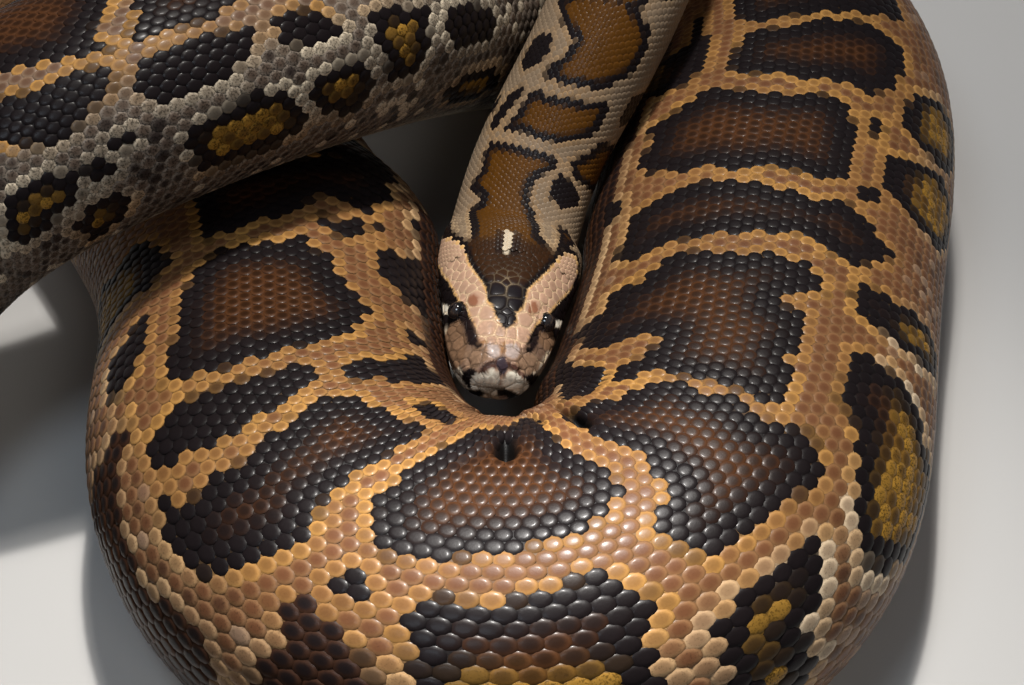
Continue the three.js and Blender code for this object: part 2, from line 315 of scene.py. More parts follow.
# Marks of the back and flanks: kind, then the outline's corners (mm from the nape, share round).
MARKS_SEEN = [
    ("blotch", [(1295, -.358), (1303, -.372), (1322, -.365), (1323, -.297), (1322, -.196), (1312, .041),
               (1290, .041), (1280, -.23)]),
    ("blotch", [(1324, -.331), (1335, -.338), (1339, -.294), (1358, -.28), (1361, -.248), (1370, -.24),
               (1368, -.213), (1363, -.189), (1360, -.135), (1366, -.101), (1377, -.033), (1378, .021),
               (1385, .041), (1383, .075), (1389, .105), (1387, .132), (1370, .129), (1350, .125),
               (1327, .109), (1324, -.175)]),
    # The next two marks are painted shade: dark patches on the left flank where it lies in shade against the
    # head and neck.
    ("dusk", [(1345, -.37), (1420, -.352), (1500, -.345), (1548, -.36), (1548, -.56), (1345, -.56)]),
    ("dusk", [(1785, -.36), (1830, -.345), (1900, -.36), (1960, -.35), (2060, -.30), (2150, -.30),
              (2150, -.56), (1785, -.56)]),
    ("small", [(1358, -.378), (1370, -.382), (1371, -.346), (1363, -.34), (1360, -.355)]),
    ("flank", [(1362, .278), (1363, .24), (1370, .234), (1377, .205), (1385, .218), (1390, .193),
               (1398, .196), (1402, .22), (1410, .237), (1413, .278), (1418, .325), (1425, .379),
               (1430, .426), (1403, .467), (1370, .46), (1362, .406), (1368, .359), (1368, .311)]),
    ("small", [(1377, -.259), (1381, -.25), (1381, -.229), (1384, -.218), (1390, -.207), (1392, -.19),
               (1393, -.172), (1392, -.151), (1386, -.149), (1383, -.134), (1379, -.112), (1374, -.121),
               (1374, -.136), (1378, -.152), (1377, -.173), (1373, -.188), (1376, -.211), (1378, -.222),
               (1375, -.237)]),
    ("blotch", [(1393, -.083), (1398, -.094), (1403, -.092), (1410, -.145), (1420, -.148), (1430, -.166),
               (1439, -.192), (1444, -.217), (1449, -.22), (1455, -.199), (1464, -.182), (1471, -.166),
               (1478, -.104), (1483, -.074), (1487, -.023), (1490, -.005), (1488, .022), (1486, .048),
               (1491, .074), (1489, .156), (1489, .194), (1486, .207), (1480, .194), (1456, .177),
               (1438, .18), (1424, .158), (1414, .153), (1408, .126), (1401, .106), (1398, .083),
               (1399, .059), (1395, .037), (1398, .014), (1396, -.008), (1398, -.035), (1393, -.059)]),
    ("small", [(1390, -.375), (1400, -.399), (1418, -.399), (1428, -.375), (1430, -.345), (1429, -.306),
               (1424, -.285), (1421, -.261), (1412, -.239), (1403, -.246), (1396, -.243), (1394, -.27),
               (1392, -.293), (1393, -.308), (1388, -.33)]),
    ("small", [(1453, -.327), (1460, -.342), (1463, -.315), (1465, -.299), (1460, -.284), (1452, -.289),
               (1450, -.304)]),
    ("small", [(1480, -.299), (1483, -.323), (1498, -.33), (1514, -.336), (1519, -.3), (1526, -.255),
               (1527, -.211), (1520, -.181), (1524, -.151), (1520, -.128), (1512, -.119), (1498, -.142),
               (1497, -.181), (1499, -.196), (1494, -.248), (1484, -.27), (1481, -.282)]),
    ("small", [(1552, -.211), (1562, -.241), (1576, -.257), (1594, -.263), (1606, -.248), (1598, -.226),
               (1584, -.203), (1568, -.192)]),
    ("small", [(1498, -.044), (1500, -.07), (1508, -.077), (1515, -.067), (1518, -.044), (1520, -.007),
               (1524, .023), (1526, .068), (1529, .1), (1530, .141), (1529, .179), (1524, .209),
               (1527, .233), (1524, .263), (1516, .27), (1508, .254), (1502, .203), (1500, .156),
               (1502, .119), (1499, .097), (1501, .067), (1498, .037), (1502, -.008)]),
    ("small", [(1437, .245), (1446, .244), (1460, .245), (1469, .261), (1475, .278), (1480, .3),
               (1478, .33), (1468, .338), (1456, .338), (1448, .306), (1440, .278), (1436, .261)]),
    ("blotch", [(1532, -.119), (1544, -.13), (1568, -.151), (1590, -.175), (1595, -.169), (1593, -.134),
               (1590, -.106), (1588, -.076), (1589, -.044), (1586, -.007), (1583, .022), (1584, .053),
               (1582, .091), (1587, .12), (1586, .165), (1582, .195), (1578, .233), (1575, .263),
               (1568, .284), (1566, .308), (1558, .312), (1544, .312), (1534, .285), (1536, .261),
               (1542, .263), (1543, .224), (1540, .179), (1544, .141), (1541, .119), (1542, .089),
               (1538, .059), (1539, .037), (1534, .014), (1533, -.016), (1528, -.038), (1529, -.061),
               (1532, -.083)]),
    # The next two marks are painted shade: dark patches low on the flank, where it faces down and away from
    # the light.
    ("dusk", [(1493, .284), (1500, .276), (1508, .323), (1520, .366), (1534, .383), (1548, .413),
               (1552, .407), (1560, .381), (1568, .407), (1573, .381), (1578, .419), (1582, .486),
               (1572, .583), (1540, .598), (1504, .508), (1498, .411), (1496, .344)]),
    ("dusk", [(1593, .269), (1599, .245), (1605, .255), (1612, .284), (1622, .308), (1626, .374),
               (1620, .464), (1596, .464), (1590, .396), (1596, .336)]),
    ("blotch", [(1600, .011), (1602, -.017), (1600, -.039), (1603, -.056), (1605, -.076), (1609, -.105),
               (1612, -.135), (1620, -.157), (1623, -.184), (1626, -.207), (1634, -.225), (1644, -.228),
               (1650, -.232), (1658, -.232), (1664, -.238), (1669, -.263), (1678, -.285), (1694, -.293),
               (1701, -.277), (1700, -.24), (1696, -.206), (1699, -.163), (1698, -.118), (1703, -.089),
               (1710, -.068), (1715, -.039), (1712, .01), (1702, .046), (1692, .064), (1680, .076),
               (1660, .089), (1645, .103), (1631, .126), (1616, .133), (1610, .112), (1605, .089),
               (1604, .061), (1598, .054), (1596, .044)]),
    ("small", [(1602, .186), (1608, .166), (1614, .174), (1617, .204), (1616, .227), (1608, .227),
               (1602, .211)]),
    ("flank", [(1631, .193), (1638, .177), (1654, .186), (1667, .168), (1676, .169), (1680, .148),
               (1688, .15), (1693, .171), (1701, .2), (1706, .225), (1699, .254), (1695, .29),
               (1699, .347), (1690, .426), (1650, .448), (1636, .369), (1633, .297), (1627, .254)]),
    ("blotch", [(1718, -.229), (1730, -.232), (1742, -.231), (1754, -.22), (1760, -.198), (1770, -.17),
               (1780, -.155), (1790, -.141), (1796, -.111), (1797, -.075), (1792, -.039), (1796, .004),
               (1792, .033), (1788, .069), (1792, .105), (1791, .132), (1794, .162), (1788, .191),
               (1782, .205), (1774, .219), (1766, .204), (1758, .202), (1748, .189), (1738, .191),
               (1730, .184), (1724, .202), (1719, .168), (1714, .132), (1712, .11), (1718, .082),
               (1724, .067), (1730, .053), (1734, .031), (1730, .01), (1732, -.019), (1736, -.04),
               (1730, -.069), (1728, -.098), (1723, -.112), (1722, -.17), (1720, -.198)]),
    ("small", [(1744, -.285), (1760, -.306), (1790, -.342), (1810, -.367), (1840, -.364), (1831, -.341),
               (1816, -.32), (1813, -.299), (1812, -.276), (1804, -.247), (1794, -.233), (1782, -.233),
               (1760, -.247)]),
    ("small", [(1786, -.211), (1798, -.211), (1808, -.207), (1812, -.184), (1814, -.154), (1802, -.147),
               (1792, -.175)]),
    ("flank", [(1714, .296), (1720, .296), (1726, .252), (1734, .261), (1744, .275), (1756, .26),
               (1760, .29), (1756, .32), (1750, .342), (1746, .37), (1738, .37), (1742, .426),
               (1738, .492), (1730, .548), (1720, .577), (1702, .541), (1712, .469), (1716, .39)]),
    ("flank", [(1812, .207), (1816, .181), (1828, .181), (1838, .198), (1847, .188), (1849, .218),
               (1848, .277), (1847, .313), (1841, .349), (1838, .385), (1828, .406), (1831, .459),
               (1820, .505), (1790, .491), (1776, .433), (1768, .362), (1774, .311), (1782, .284),
               (1790, .263), (1800, .248), (1808, .234)]),
    ("blotch", [(1804, -.159), (1808, -.183), (1820, -.16), (1832, -.153), (1834, -.21), (1826, -.236),
               (1825, -.266), (1831, -.302), (1842, -.314), (1847, -.351), (1858, -.361), (1865, -.274),
               (1878, -.297), (1883, -.266), (1882, -.228), (1890, -.208), (1898, -.17), (1902, -.123),
               (1901, -.094), (1898, -.047), (1903, -.019), (1902, .019), (1898, .057), (1899, .086),
               (1892, .104), (1888, .123), (1878, .133), (1877, .093), (1872, .055), (1866, .044),
               (1860, .103), (1852, .104), (1835, .103), (1830, .08), (1810, .103), (1798, .103),
               (1800, -.02), (1799, -.077)]),
    ("blotch", [(1904, -.238), (1901, -.276), (1911, -.309), (1922, -.299), (1940, -.29), (1946, -.257),
               (1950, -.219), (1956, -.172), (1958, -.124), (1958, -.058), (1960, -.02), (1954, .008),
               (1958, .038), (1952, .074), (1956, .112), (1958, .152), (1952, .18), (1945, .208),
               (1938, .237), (1932, .265), (1922, .246), (1915, .218), (1908, .18), (1910, .15),
               (1910, .121), (1918, .103), (1920, .065), (1917, -.02), (1915, -.077), (1909, -.124),
               (1910, -.172), (1908, -.2)]),
    ("blotch", [(1970, -.238), (1973, -.266), (1985, -.29), (2000, -.274), (2016, -.287), (2020, -.266),
               (2026, -.228), (2036, -.198), (2042, -.17), (2042, -.132), (2040, -.077), (2040, -.02),
               (2043, .036), (2046, .086), (2040, .114), (2025, .138), (2010, .147), (1990, .152),
               (1980, .145), (1972, .114), (1970, .065), (1974, .008), (1970, -.039), (1967, -.077),
               (1970, -.134), (1968, -.181)]),
    ("flank", [(1980, .237), (1986, .207), (2000, .218), (2010, .207), (2018, .254), (2020, .284),
               (2026, .32), (2030, .358), (2028, .434), (2010, .471), (1990, .452), (1972, .396),
               (1970, .301)]),
    ("small", [(1963, .178), (1978, .172), (1978, .207), (1965, .218)]),
    ("small", [(2017, .188), (2025, .172), (2038, .172), (2042, .188), (2030, .208)]),
    ("flank", [(1872, .197), (1888, .176), (1896, .188), (1898, .235), (1895, .282), (1900, .322),
               (1900, .396), (1888, .452), (1872, .415), (1867, .301)]),
    ("blotch", [(2056, -.087), (2056, -.124), (2062, -.136), (2080, -.136), (2100, -.126), (2103, -.077),
               (2106, -.03), (2112, .017), (2114, .065), (2116, .112), (2117, .152), (2113, .199),
               (2108, .227), (2102, .246), (2088, .237), (2070, .218), (2062, .197), (2054, .15),
               (2060, .112), (2057, .055), (2054, .008), (2058, -.049)]),
    ("flank", [(2036, .273), (2045, .238), (2058, .243), (2075, .271), (2081, .311), (2086, .358),
               (2082, .434), (2058, .452), (2040, .396), (2034, .32)]),
    ("flank", [(2048, -.276), (2050, -.323), (2060, -.37), (2075, -.382), (2090, -.363), (2100, -.323),
               (2096, -.285), (2100, -.257), (2115, -.238), (2132, -.238), (2140, -.224), (2115, -.208),
               (2098, -.198), (2065, -.198), (2050, -.217)]),
    ("blotch", [(2110, -.126), (2140, -.155), (2175, -.134), (2190, -.02), (2188, .169), (2160, .263),
               (2132, .273), (2126, .207), (2124, .15), (2122, .093), (2118, .017), (2112, -.058)]),
    ("small", [(1944, -.332), (1945, -.37), (1950, -.391), (1963, -.391), (1963, -.35), (1958, -.312),
               (1945, -.321)]),
    ("blotch", [(2719, -.157), (2730, -.154), (2741, -.116), (2767, -.054), (2790, -.024), (2800, .063),
               (2792, .259), (2746, .346), (2723, .259), (2706, .107), (2710, -.013), (2723, -.067),
               (2725, -.116)]),
    ("blotch", [(2568, -.14), (2600, -.17), (2620, -.12), (2624, .05), (2618, .20), (2590, .26), (2566, .2),
               (2560, .0)]),
    ("blotch", [(2500, -.17), (2530, -.2), (2546, -.15), (2548, .04), (2542, .2), (2516, .23), (2498, .14),
               (2494, -.03)]),
    ("blotch", [(2664, -.171), (2681, -.187), (2699, -.176), (2714, -.154), (2711, -.122), (2706, -.095),
               (2702, -.054), (2690, .041), (2662, .107), (2639, -.024)]),
    ("small", [(2723, -.207), (2728, -.252), (2734, -.276), (2743, -.282), (2750, -.307), (2762, -.314),
               (2770, -.301), (2773, -.274), (2780, -.252), (2782, -.228), (2783, -.176), (2773, -.13),
               (2764, -.152), (2746, -.174), (2730, -.179), (2722, -.187)]),
    ("small", [(2666, -.274), (2674, -.318), (2685, -.339), (2702, -.35), (2711, -.347), (2721, -.285),
               (2716, -.241), (2711, -.217), (2695, -.212), (2678, -.228), (2666, -.25)]),
    ("small", [(2730, -.394), (2739, -.407), (2742, -.372), (2732, -.353)]),
    ("small", [(2742, -.432), (2757, -.45), (2758, -.405), (2746, -.381)]),
    ("flank", [(2653, -.486), (2654, -.541), (2667, -.559), (2704, -.557), (2711, -.486), (2708, -.426),
               (2695, -.402), (2676, -.397), (2660, -.413)]),
    ("flank", [(2618, -.524), (2630, -.543), (2642, -.519), (2649, -.47), (2649, -.413), (2637, -.402),
               (2620, -.402), (2616, -.459)]),
    ("flank", [(2580, -.394), (2583, -.459), (2592, -.505), (2604, -.492), (2609, -.437), (2614, -.372),
               (2611, -.304), (2592, -.326), (2578, -.348)]),
    ("small", [(2625, -.328), (2634, -.347), (2649, -.339), (2657, -.296), (2657, -.25), (2648, -.228),
               (2630, -.283)]),
    ("flank", [(2504, -.611), (2518, -.655), (2550, -.633), (2560, -.579), (2548, -.544), (2525, -.533),
               (2509, -.566)]),
    ("flank", [(2760, -.405), (2763, -.459), (2776, -.477), (2799, -.494), (2807, -.448), (2799, -.381),
               (2781, -.359), (2767, -.37)]),
    ("flank", [(2742, -.541), (2757, -.611), (2770, -.622), (2775, -.524), (2762, -.484), (2748, -.5)]),
    ("small", [(2525, -.437), (2534, -.464), (2560, -.464), (2570, -.405), (2567, -.359), (2548, -.37),
               (2530, -.391)]),
    ("neck", [(-26, -.36), (-21, -.418), (-11, -.514), (-6, -.582), (-2, -.543), (-2, -.447), (-6, -.389),
             (-14, -.36), (-22, -.351)]),
    ("neck", [(-50, -.266), (-41, -.26), (-31, -.25), (-21, -.242), (-1, -.239), (3, -.188), (7, -.188),
               (10, -.239), (13, -.287), (19, -.28), (24, -.246), (36, -.26), (42, -.239), (42, -.115),
               (42, -.047), (41, .022), (42, .146), (39, .204), (33, .19), (26, .121), (21, .091),
               (14, .084), (7, .105), (0, .153), (-7, .149), (-19, .135), (-27, .149), (-34, .231),
               (-41, .272), (-50, .217)]),
    ("neck", [(50, -.17), (56, -.15), (61, -.115), (69, -.108), (74, -.088), (77, -.047), (76, .008),
               (77, .077), (80, .146), (81, .215), (86, .283), (88, .338), (84, .368), (71, .362),
               (64, .327), (60, .286), (54, .217), (51, .16), (50, .091), (49, .022), (51, -.033),
               (49, -.101)]),
    ("neck", [(84, -.047), (87, -.067), (91, -.06), (94, -.026), (101, .002), (109, .011), (111, -.033),
               (115, -.115), (121, -.17), (129, -.225), (136, -.088), (141, .16), (131, .355),
               (126, .382), (114, .396), (104, .368), (99, .327), (94, .3), (90, .242), (87, .146),
               (84, .077), (85, .008)]),
    ("small", [(49, -.294), (59, -.283), (71, -.225), (77, -.17), (74, -.126), (64, -.167), (56, -.209),
               (49, -.236)]),
    ("small", [(84, -.198), (87, -.253), (94, -.283), (103, -.266), (107, -.211), (109, -.156),
               (101, -.099), (96, -.099), (90, -.14)]),
    ("small", [(11, .286), (14, .242), (14, .194), (19, .187), (27, .201), (32, .215), (32, .27),
               (30, .314), (24, .382), (19, .41), (16, .355)]),
    ("neck", [(33, .341), (37, .283), (44, .267), (50, .311), (56, .355), (61, .382), (67, .396),
               (71, .492), (74, .599), (41, .599), (36, .492)]),
    ("small", [(83, .476), (93, .459), (100, .476), (105, .544), (110, .602), (87, .602)]),
    ("neck", [(-33, .27), (-21, .253), (-10, .27), (-3, .276), (1, .311), (0, .382), (-7, .41),
               (-14, .382), (-24, .341)]),
    ("small", [(58, -.418), (64, -.418), (69, -.321), (64, -.294), (59, -.335)]),
]
# Where the marks above are the whole pattern: from, to, and the shares round between which they hold.
SEEN = [(-130, 138, -.45, .6), (1270, 2195, -.5, .52), (2500, 2810, -.68, .4)]


def irregular(s, u, half_length, half_round, corners=11, rough=0.16):
    """A blotch's outline: a squarish ring of corners, each a little in or out of place."""
    half_turn = half_round_at(np.array([float(s)]))[0]
    outline = []
    for corner in range(corners):
        way = (corner + rng.uniform(-0.25, 0.25)) / corners * 2 * math.pi
        reach = 1 + rng.uniform(-rough, rough)
        outline.append((s + half_length * reach * soft_power(math.cos(way), 0.75),
                        u + half_round / half_turn * reach * soft_power(math.sin(way), 0.75)))
    return outline


def half_round_at(q):
    """Half the way round the body, in mm."""
    a, b = eased(GIRTH, np.maximum(q, 0)).T
    return math.pi / 2 * (3 * (a + b) - np.sqrt((3 * a + b) * (a + 3 * b)))


# Half the way round, in mm, at the thick of the body, at its front bend and at the head.
THICK_HALF_ROUND, BEND_HALF_ROUND, HEAD_HALF_ROUND = 260, 270.0, 104.0
FIRST_SADDLE, LAST_SADDLE = 150.0, BODY_LENGTH - 30
NECK_PATTERN_END = 420     # the neck's own browns reach this far behind the nape, in mm


def more_marks():
    """The rest of the pattern: saddles down the back, with lesser marks between them on each flank."""
    made = []
    s = FIRST_SADDLE
    while s < LAST_SADDLE:
        girth = half_round_at(np.array([s]))[0] / THICK_HALF_ROUND
        step = (44 + 46 * girth) * rng.uniform(0.85, 1.15)
        kind = "neck" if s < NECK_PATTERN_END else "blotch"
        made.append((kind, irregular(s, rng.uniform(-0.04, 0.04), step * 0.40, 62 * girth + 4)))
        for side in (-1, 1):
            at = s + step * (0.5 + rng.uniform(-0.12, 0.12))
            made.append(("flank", irregular(at, side * rng.uniform(0.38, 0.47),
                                            step * rng.uniform(0.20, 0.34),
                                            rng.uniform(15, 30) * girth + 3, 9, 0.28)))
            if rng.random() < 0.6:
                at = s + step * rng.uniform(-0.2, 0.2)
                made.append(("small", irregular(at, side * rng.uniform(0.34, 0.38), step * 0.12,
                                                10 * girth + 2, 7)))
        s += step
    return made


def apart_from_seen(outline):
    s, u = np.mean(outline, axis=0)
    return not any(low <= s <= high and left <= u <= right for low, high, left, right in SEEN)


ALL_MARKS = MARKS_SEEN + [mark for mark in more_marks() if apart_from_seen(mark[1])]
# The last kind of mark is painted shade.
KINDS = ["blotch", "neck", "small", "flank", "dusk"]

# The head's own marks, laid one over another: paint, outline.
HEAD_MARKS = [
    (STRIPE, [(-110, -.197), (-102, -.235), (-96, -.25), (-90, -.288), (-82, -.314), (-78, -.362),
               (-66, -.399), (-56, -.432), (-46, -.476), (-39, -.497), (-31, -.553), (-22, -.63),
               (-14, -.649), (-7, -.582), (-10, -.533), (-18, -.447), (-26, -.368), (-31, -.332),
               (-36, -.301), (-40, -.288), (-50, -.274), (-56, -.25), (-64, -.208), (-70, -.166),
               (-76, -.139), (-83, -.13), (-86, -.082), (-91, -.053), (-96, -.005), (-100, .043),
               (-96, .125), (-93, .14), (-88, .116), (-83, .168), (-78, .164), (-70, .167), (-64, .197),
               (-60, .221), (-56, .236), (-50, .263), (-41, .289), (-34, .308), (-28, .342), (-25, .39),
               (-26, .423), (-30, .457), (-36, .471), (-46, .467), (-56, .438), (-66, .409), (-74, .385),
               (-79, .37), (-86, .332), (-91, .313), (-96, .301), (-101, .305), (-106, .293),
               (-110, .245), (-111, .053)]),
    (SUPRAOCULAR, [(-84, -.283), (-79, -.298), (-76, -.262), (-78, -.216), (-84, -.207), (-86, -.245)]),
    (SUPRAOCULAR, [(-86, .215), (-79, .205), (-76, .243), (-79, .286), (-85, .276), (-87, .245)]),
    (LIP_WHITE, [(-85, -.389), (-81, -.458), (-74, -.516), (-66, -.591), (-60, -.658), (-52, -.658),
               (-62, -.562), (-70, -.485), (-76, -.437), (-81, -.393)]),
    (LIP_WHITE, [(-84, .409), (-79, .414), (-72, .476), (-64, .563), (-70, .563), (-78, .476)]),
    (INK, [(-92, -.301), (-90, -.389), (-86, -.413), (-78, -.389), (-79, -.324), (-83, -.31)]),
    (INK, [(-90, .342), (-79, .368), (-77, .401), (-83, .411), (-88, .385)]),
]

# The face's marks on a flat that leans back over the snout: paint, outline in mm across and up that flat
# from the nape.
FACE_LEAN = math.radians(44)
FACE_MARKS = [
    (CHEEK_SIDE, [(-34.6, -50.2), (-29.4, -47.1), (-27.2, -53.4), (-25.1, -61.2), (-26.7, -70.1),
               (-30.9, -74.8), (-36.6, -73.2), (-37.7, -63.8), (-36.7, -56.0)]),
    (CHEEK_SIDE, [(14.3, -52.3), (18.5, -51.3), (22.2, -55.5), (22.2, -61.2), (20.1, -64.9), (16.9, -63.8),
               (14.3, -59.7)]),
    (LORE, [(-29.4, -37.7), (-25.7, -37.7), (-24.6, -46.0), (-22.5, -48.1), (-20.9, -53.4), (-18.8, -58.6),
               (-19.9, -61.2), (-24.1, -60.7), (-26.2, -53.4), (-27.8, -47.1), (-30.4, -44.0)]),
    (LORE, [(9.0, -62.3), (10.6, -56.5), (14.3, -49.2), (16.9, -45.6), (20.0, -41.9), (22.6, -44.0),
               (20.6, -49.2), (17.9, -54.4), (14.3, -53.4), (14.3, -59.7), (11.7, -62.8)]),
    (NASAL, [(-24.6, -63.3), (-14.6, -61.2), (-13.0, -68.0), (-17.2, -70.6), (-19.8, -73.2),
               (-25.1, -72.7), (-26.7, -68.0)]),
    (NASAL, [(2.7, -64.9), (5.9, -65.9), (11.7, -64.9), (14.3, -70.1), (12.8, -75.3), (5.9, -76.4),
               (1.2, -70.6)]),
    (STRIP, [(-18.8, -58.6), (-14.1, -58.6), (-13.6, -60.7), (-18.3, -60.7)]),
    (STRIP, [(-7.3, -59.1), (-4.1, -59.1), (-4.1, -65.4), (-7.2, -65.4)]),
    # Pale paint on the internasal plates that stands for their glossy sheen: a painted highlight.
    (INTERNASAL_HIGHLIGHT, [(-14.1, -60.2), (-7.8, -60.7), (-7.2, -66.4), (-10.9, -68.0), (-13.6, -65.4)]),
    (INTERNASAL_HIGHLIGHT, [(-4.1, -60.7), (1.1, -60.2), (3.3, -62.8), (2.7, -65.9), (0.1, -68.5), (-3.6, -67.0)]),
    # Painted shade in the nostrils.
    (NOSTRIL_SHADE, [(-21.4, -60.2), (-16.2, -60.2), (-17.2, -62.8), (-20.9, -62.8)]),
    (NOSTRIL_SHADE, [(5.9, -62.3), (10.1, -61.7), (11.1, -64.4), (7.5, -64.9)]),
    (GROOVE, [(-7.8, -68.0), (-14.1, -69.6), (-18.8, -73.7), (-17.2, -75.8), (-13.0, -73.2), (-8.3, -72.2)]),
    (GROOVE, [(-3.6, -69.1), (1.2, -71.1), (5.9, -75.9), (6.5, -79.0), (0.7, -74.3), (-3.5, -72.2)]),
    (ROSTRAL_DARK, [(-7.8, -67.0), (-4.1, -67.0), (-3.0, -72.2), (-4.6, -76.9), (-7.2, -75.3),
               (-9.3, -71.7)]),
    (INK, [(-27.2, -74.8), (-21.9, -72.7), (-19.3, -74.8), (-22.4, -77.4), (-20.9, -82.6), (-23.0, -84.7),
               (-27.7, -80.0)]),
    (INK, [(5.4, -77.4), (9.1, -75.9), (13.3, -77.4), (12.3, -83.7), (8.6, -86.3), (7.5, -81.1)]),
    (LIP_WHITE, [(-16.1, -75.3), (-11.4, -73.2), (-7.7, -74.8), (-6.7, -79.5), (-9.8, -82.1),
               (-16.6, -84.2), (-21.9, -84.2), (-23.0, -80.5), (-20.9, -76.4)]),
    (LIP_WHITE, [(-5.6, -79.0), (-3.0, -74.8), (0.7, -74.3), (4.9, -79.0), (8.0, -81.6), (8.1, -84.7),
               (5.4, -88.4), (0.2, -85.3), (-4.6, -82.6)]),
    # Painted shade along the mouth line and over the lower jaw, which lies in shadow under the snout.
    (MOUTH_SHADE, [(-27.2, -83.7), (-21.9, -84.7), (-15.6, -84.7), (-7.2, -82.6), (0.2, -85.8), (6.0, -89.4),
               (9.1, -85.8), (13.8, -82.1), (13.9, -100.4), (-30.8, -100.4)]),
    (CHIN, [(-10.3, -87.9), (-3.0, -87.9), (-3.0, -91.0), (-10.3, -91.0)]),
]


def distance_in(points, outline):
    """Signed distance of each point from an outline, negative inside it."""
    ring = np.asarray(outline)
    nearest = np.full(len(points), 1e9)
    inside = np.zeros(len(points), bool)
    for a, b in zip(ring, np.roll(ring, -1, axis=0)):
        edge = b - a
        part = np.clip(((points - a) @ edge) / (edge @ edge), 0, 1)
        nearest = np.minimum(nearest, np.linalg.norm(points - a - part[:, None] * edge, axis=1))
        crosses = (a[1] > points[:, 1]) != (b[1] > points[:, 1])
        inside ^= crosses & (points[:, 0] < a[0] + (points[:, 1] - a[1]) * edge[0] / (edge[1] or 1e-9))
    return np.where(inside, -nearest, nearest)


def mixed(first, second, share):
    return first + (second - first) * np.asarray(share)[..., None]


MARK_REACH, FAR_OFF = 26, 60.0       # how far from a mark its edge is measured, and what is further, in mm


def nearest_marks(q, u):
    """For each place, the signed distance to the nearest mark, and that mark's kind."""
    best = np.full(len(q), FAR_OFF)
    kind = np.zeros(len(q), int)
    for name, outline in ALL_MARKS:
        ring = np.array(outline, float)
        half_turn = half_round_at(ring[:, 0].mean()[None])[0]
        ring[:, 1] *= half_turn
        spot = np.stack([q, u * half_turn], 1)
        low, high = ring.min(0) - MARK_REACH, ring.max(0) + MARK_REACH
        near = np.where(np.all((spot > low) & (spot < high), axis=1))[0]
        if len(near):
            d = distance_in(spot[near], ring)
            closer = d < best[near]
            best[near[closer]] = d[closer]
            kind[near[closer]] = KINDS.index(name)
    return best, kind


BELLY_PALES = (0.66, 0.78)           # the shares round between which the flank turns to belly


def from_back(u):
    """The share round from the back, on either side: 0 there, 1 under the belly."""
    return np.abs((u + 1) % 2 - 1)


def ground_paint(q, u, d, speck, neck, far):
    """The ground between the marks: its colours at a scale's rim and at its middle."""
    a = from_back(u)
    belly = smooth(*BELLY_PALES, a)
    pale = smooth(0.26 - 0.14 * far, 0.40 - 0.10 * far, a) * (0.12 + 0.88 * far) * (1 - neck)
    pale = np.maximum(pale, 0.5 * far)
    rim = mixed(mixed(TAN, GREY, pale), NECK_GROUND, neck)
    heart = mixed(mixed(TAN_HEART, GREY_HEART, pale), NECK_GROUND * 0.82, neck)

    # The light border round each mark: gold on the back, creamier low down, in beads on the right flank.
    uneven = 0.5 + 0.5 * np.sin(q / 17 + 13 * u + 1.7 * np.sin(q / 41))
    border = smooth(6.0, 3.6, d) * (1 - 0.65 * neck) * (0.45 + 0.55 * uneven)
    creamy = smooth(0.25, 0.36, a) * (0.25 + 0.75 * pale) * (1 - 0.6 * smooth(0.46, 0.56, a))
    beads = smooth(0.22, 0.28, u) * smooth(0.52, 0.44, u) * smooth(1690, 1730, q) * smooth(1900, 1860, q)
    edge = mixed(mixed(GOLD, CREAM, creamy), CREAM, beads * (0.15 + 0.45 * (speck > 0.45)))
    border = np.maximum(border, beads * smooth(8.0, 6.0, d))
    rim, heart = mixed(rim, edge, border), mixed(heart, edge * 0.60, border * 0.7)

    # Single dark and light scales on the flanks, and the pale belly with its dark flecks.
    fleck = smooth(0.24, 0.36, a) * (1 - neck) * (d > 8) * (1 - belly)
    heart = mixed(heart, INK * 1.6, fleck * (speck < 0.42) * (0.45 + 0.35 * far))
    rim = mixed(rim, INK * 2.0, fleck * (speck < 0.12) * (0.25 + 0.45 * far))
    bright = fleck * (speck > 0.88) * (0.25 + 0.75 * far)
    rim, heart = (mixed(mixed(part, CREAM, bright * 0.6), BELLY, belly) for part in (rim, heart))
    return rim, mixed(heart, INK * 2, belly * (speck < 0.16) * (a < 0.9) * 0.8)


def mark_paint(kind, depth, speck, low):
    """A mark's colours, so many mm in from its edge: rim, middle, and how much of it is ochre; the last kind
    of mark is painted shade.
    """
    on_neck = kind == KINDS.index("neck")
    brown = np.where(on_neck, smooth(6, 11, depth), smooth(9, 30, depth))
    brown = np.where(kind == KINDS.index("small"), 0, brown)
    brown_colour = np.where(on_neck[:, None], NECK_BROWN, BROWN)
    rim = mixed(INK * 0.9, brown_colour, brown)
    heart = mixed(INK, brown_colour * np.where(on_neck, 0.8, 0.26)[:, None], brown)
    ochre = (kind == KINDS.index("flank")) * smooth(7, 13, depth) * low * (0.50 + 0.45 * (speck > 0.3))
    rim = mixed(rim, OCHRE, ochre)
    heart = mixed(heart, mixed(OCHRE_HEART, OCHRE, speck > 0.6), ochre)
    # The painted shade marks have their rims drawn halfway to a dark tan.
    return mixed(rim, TAN_HEART * 0.7, (kind == KINDS.index("dusk")) * 0.5), heart, ochre


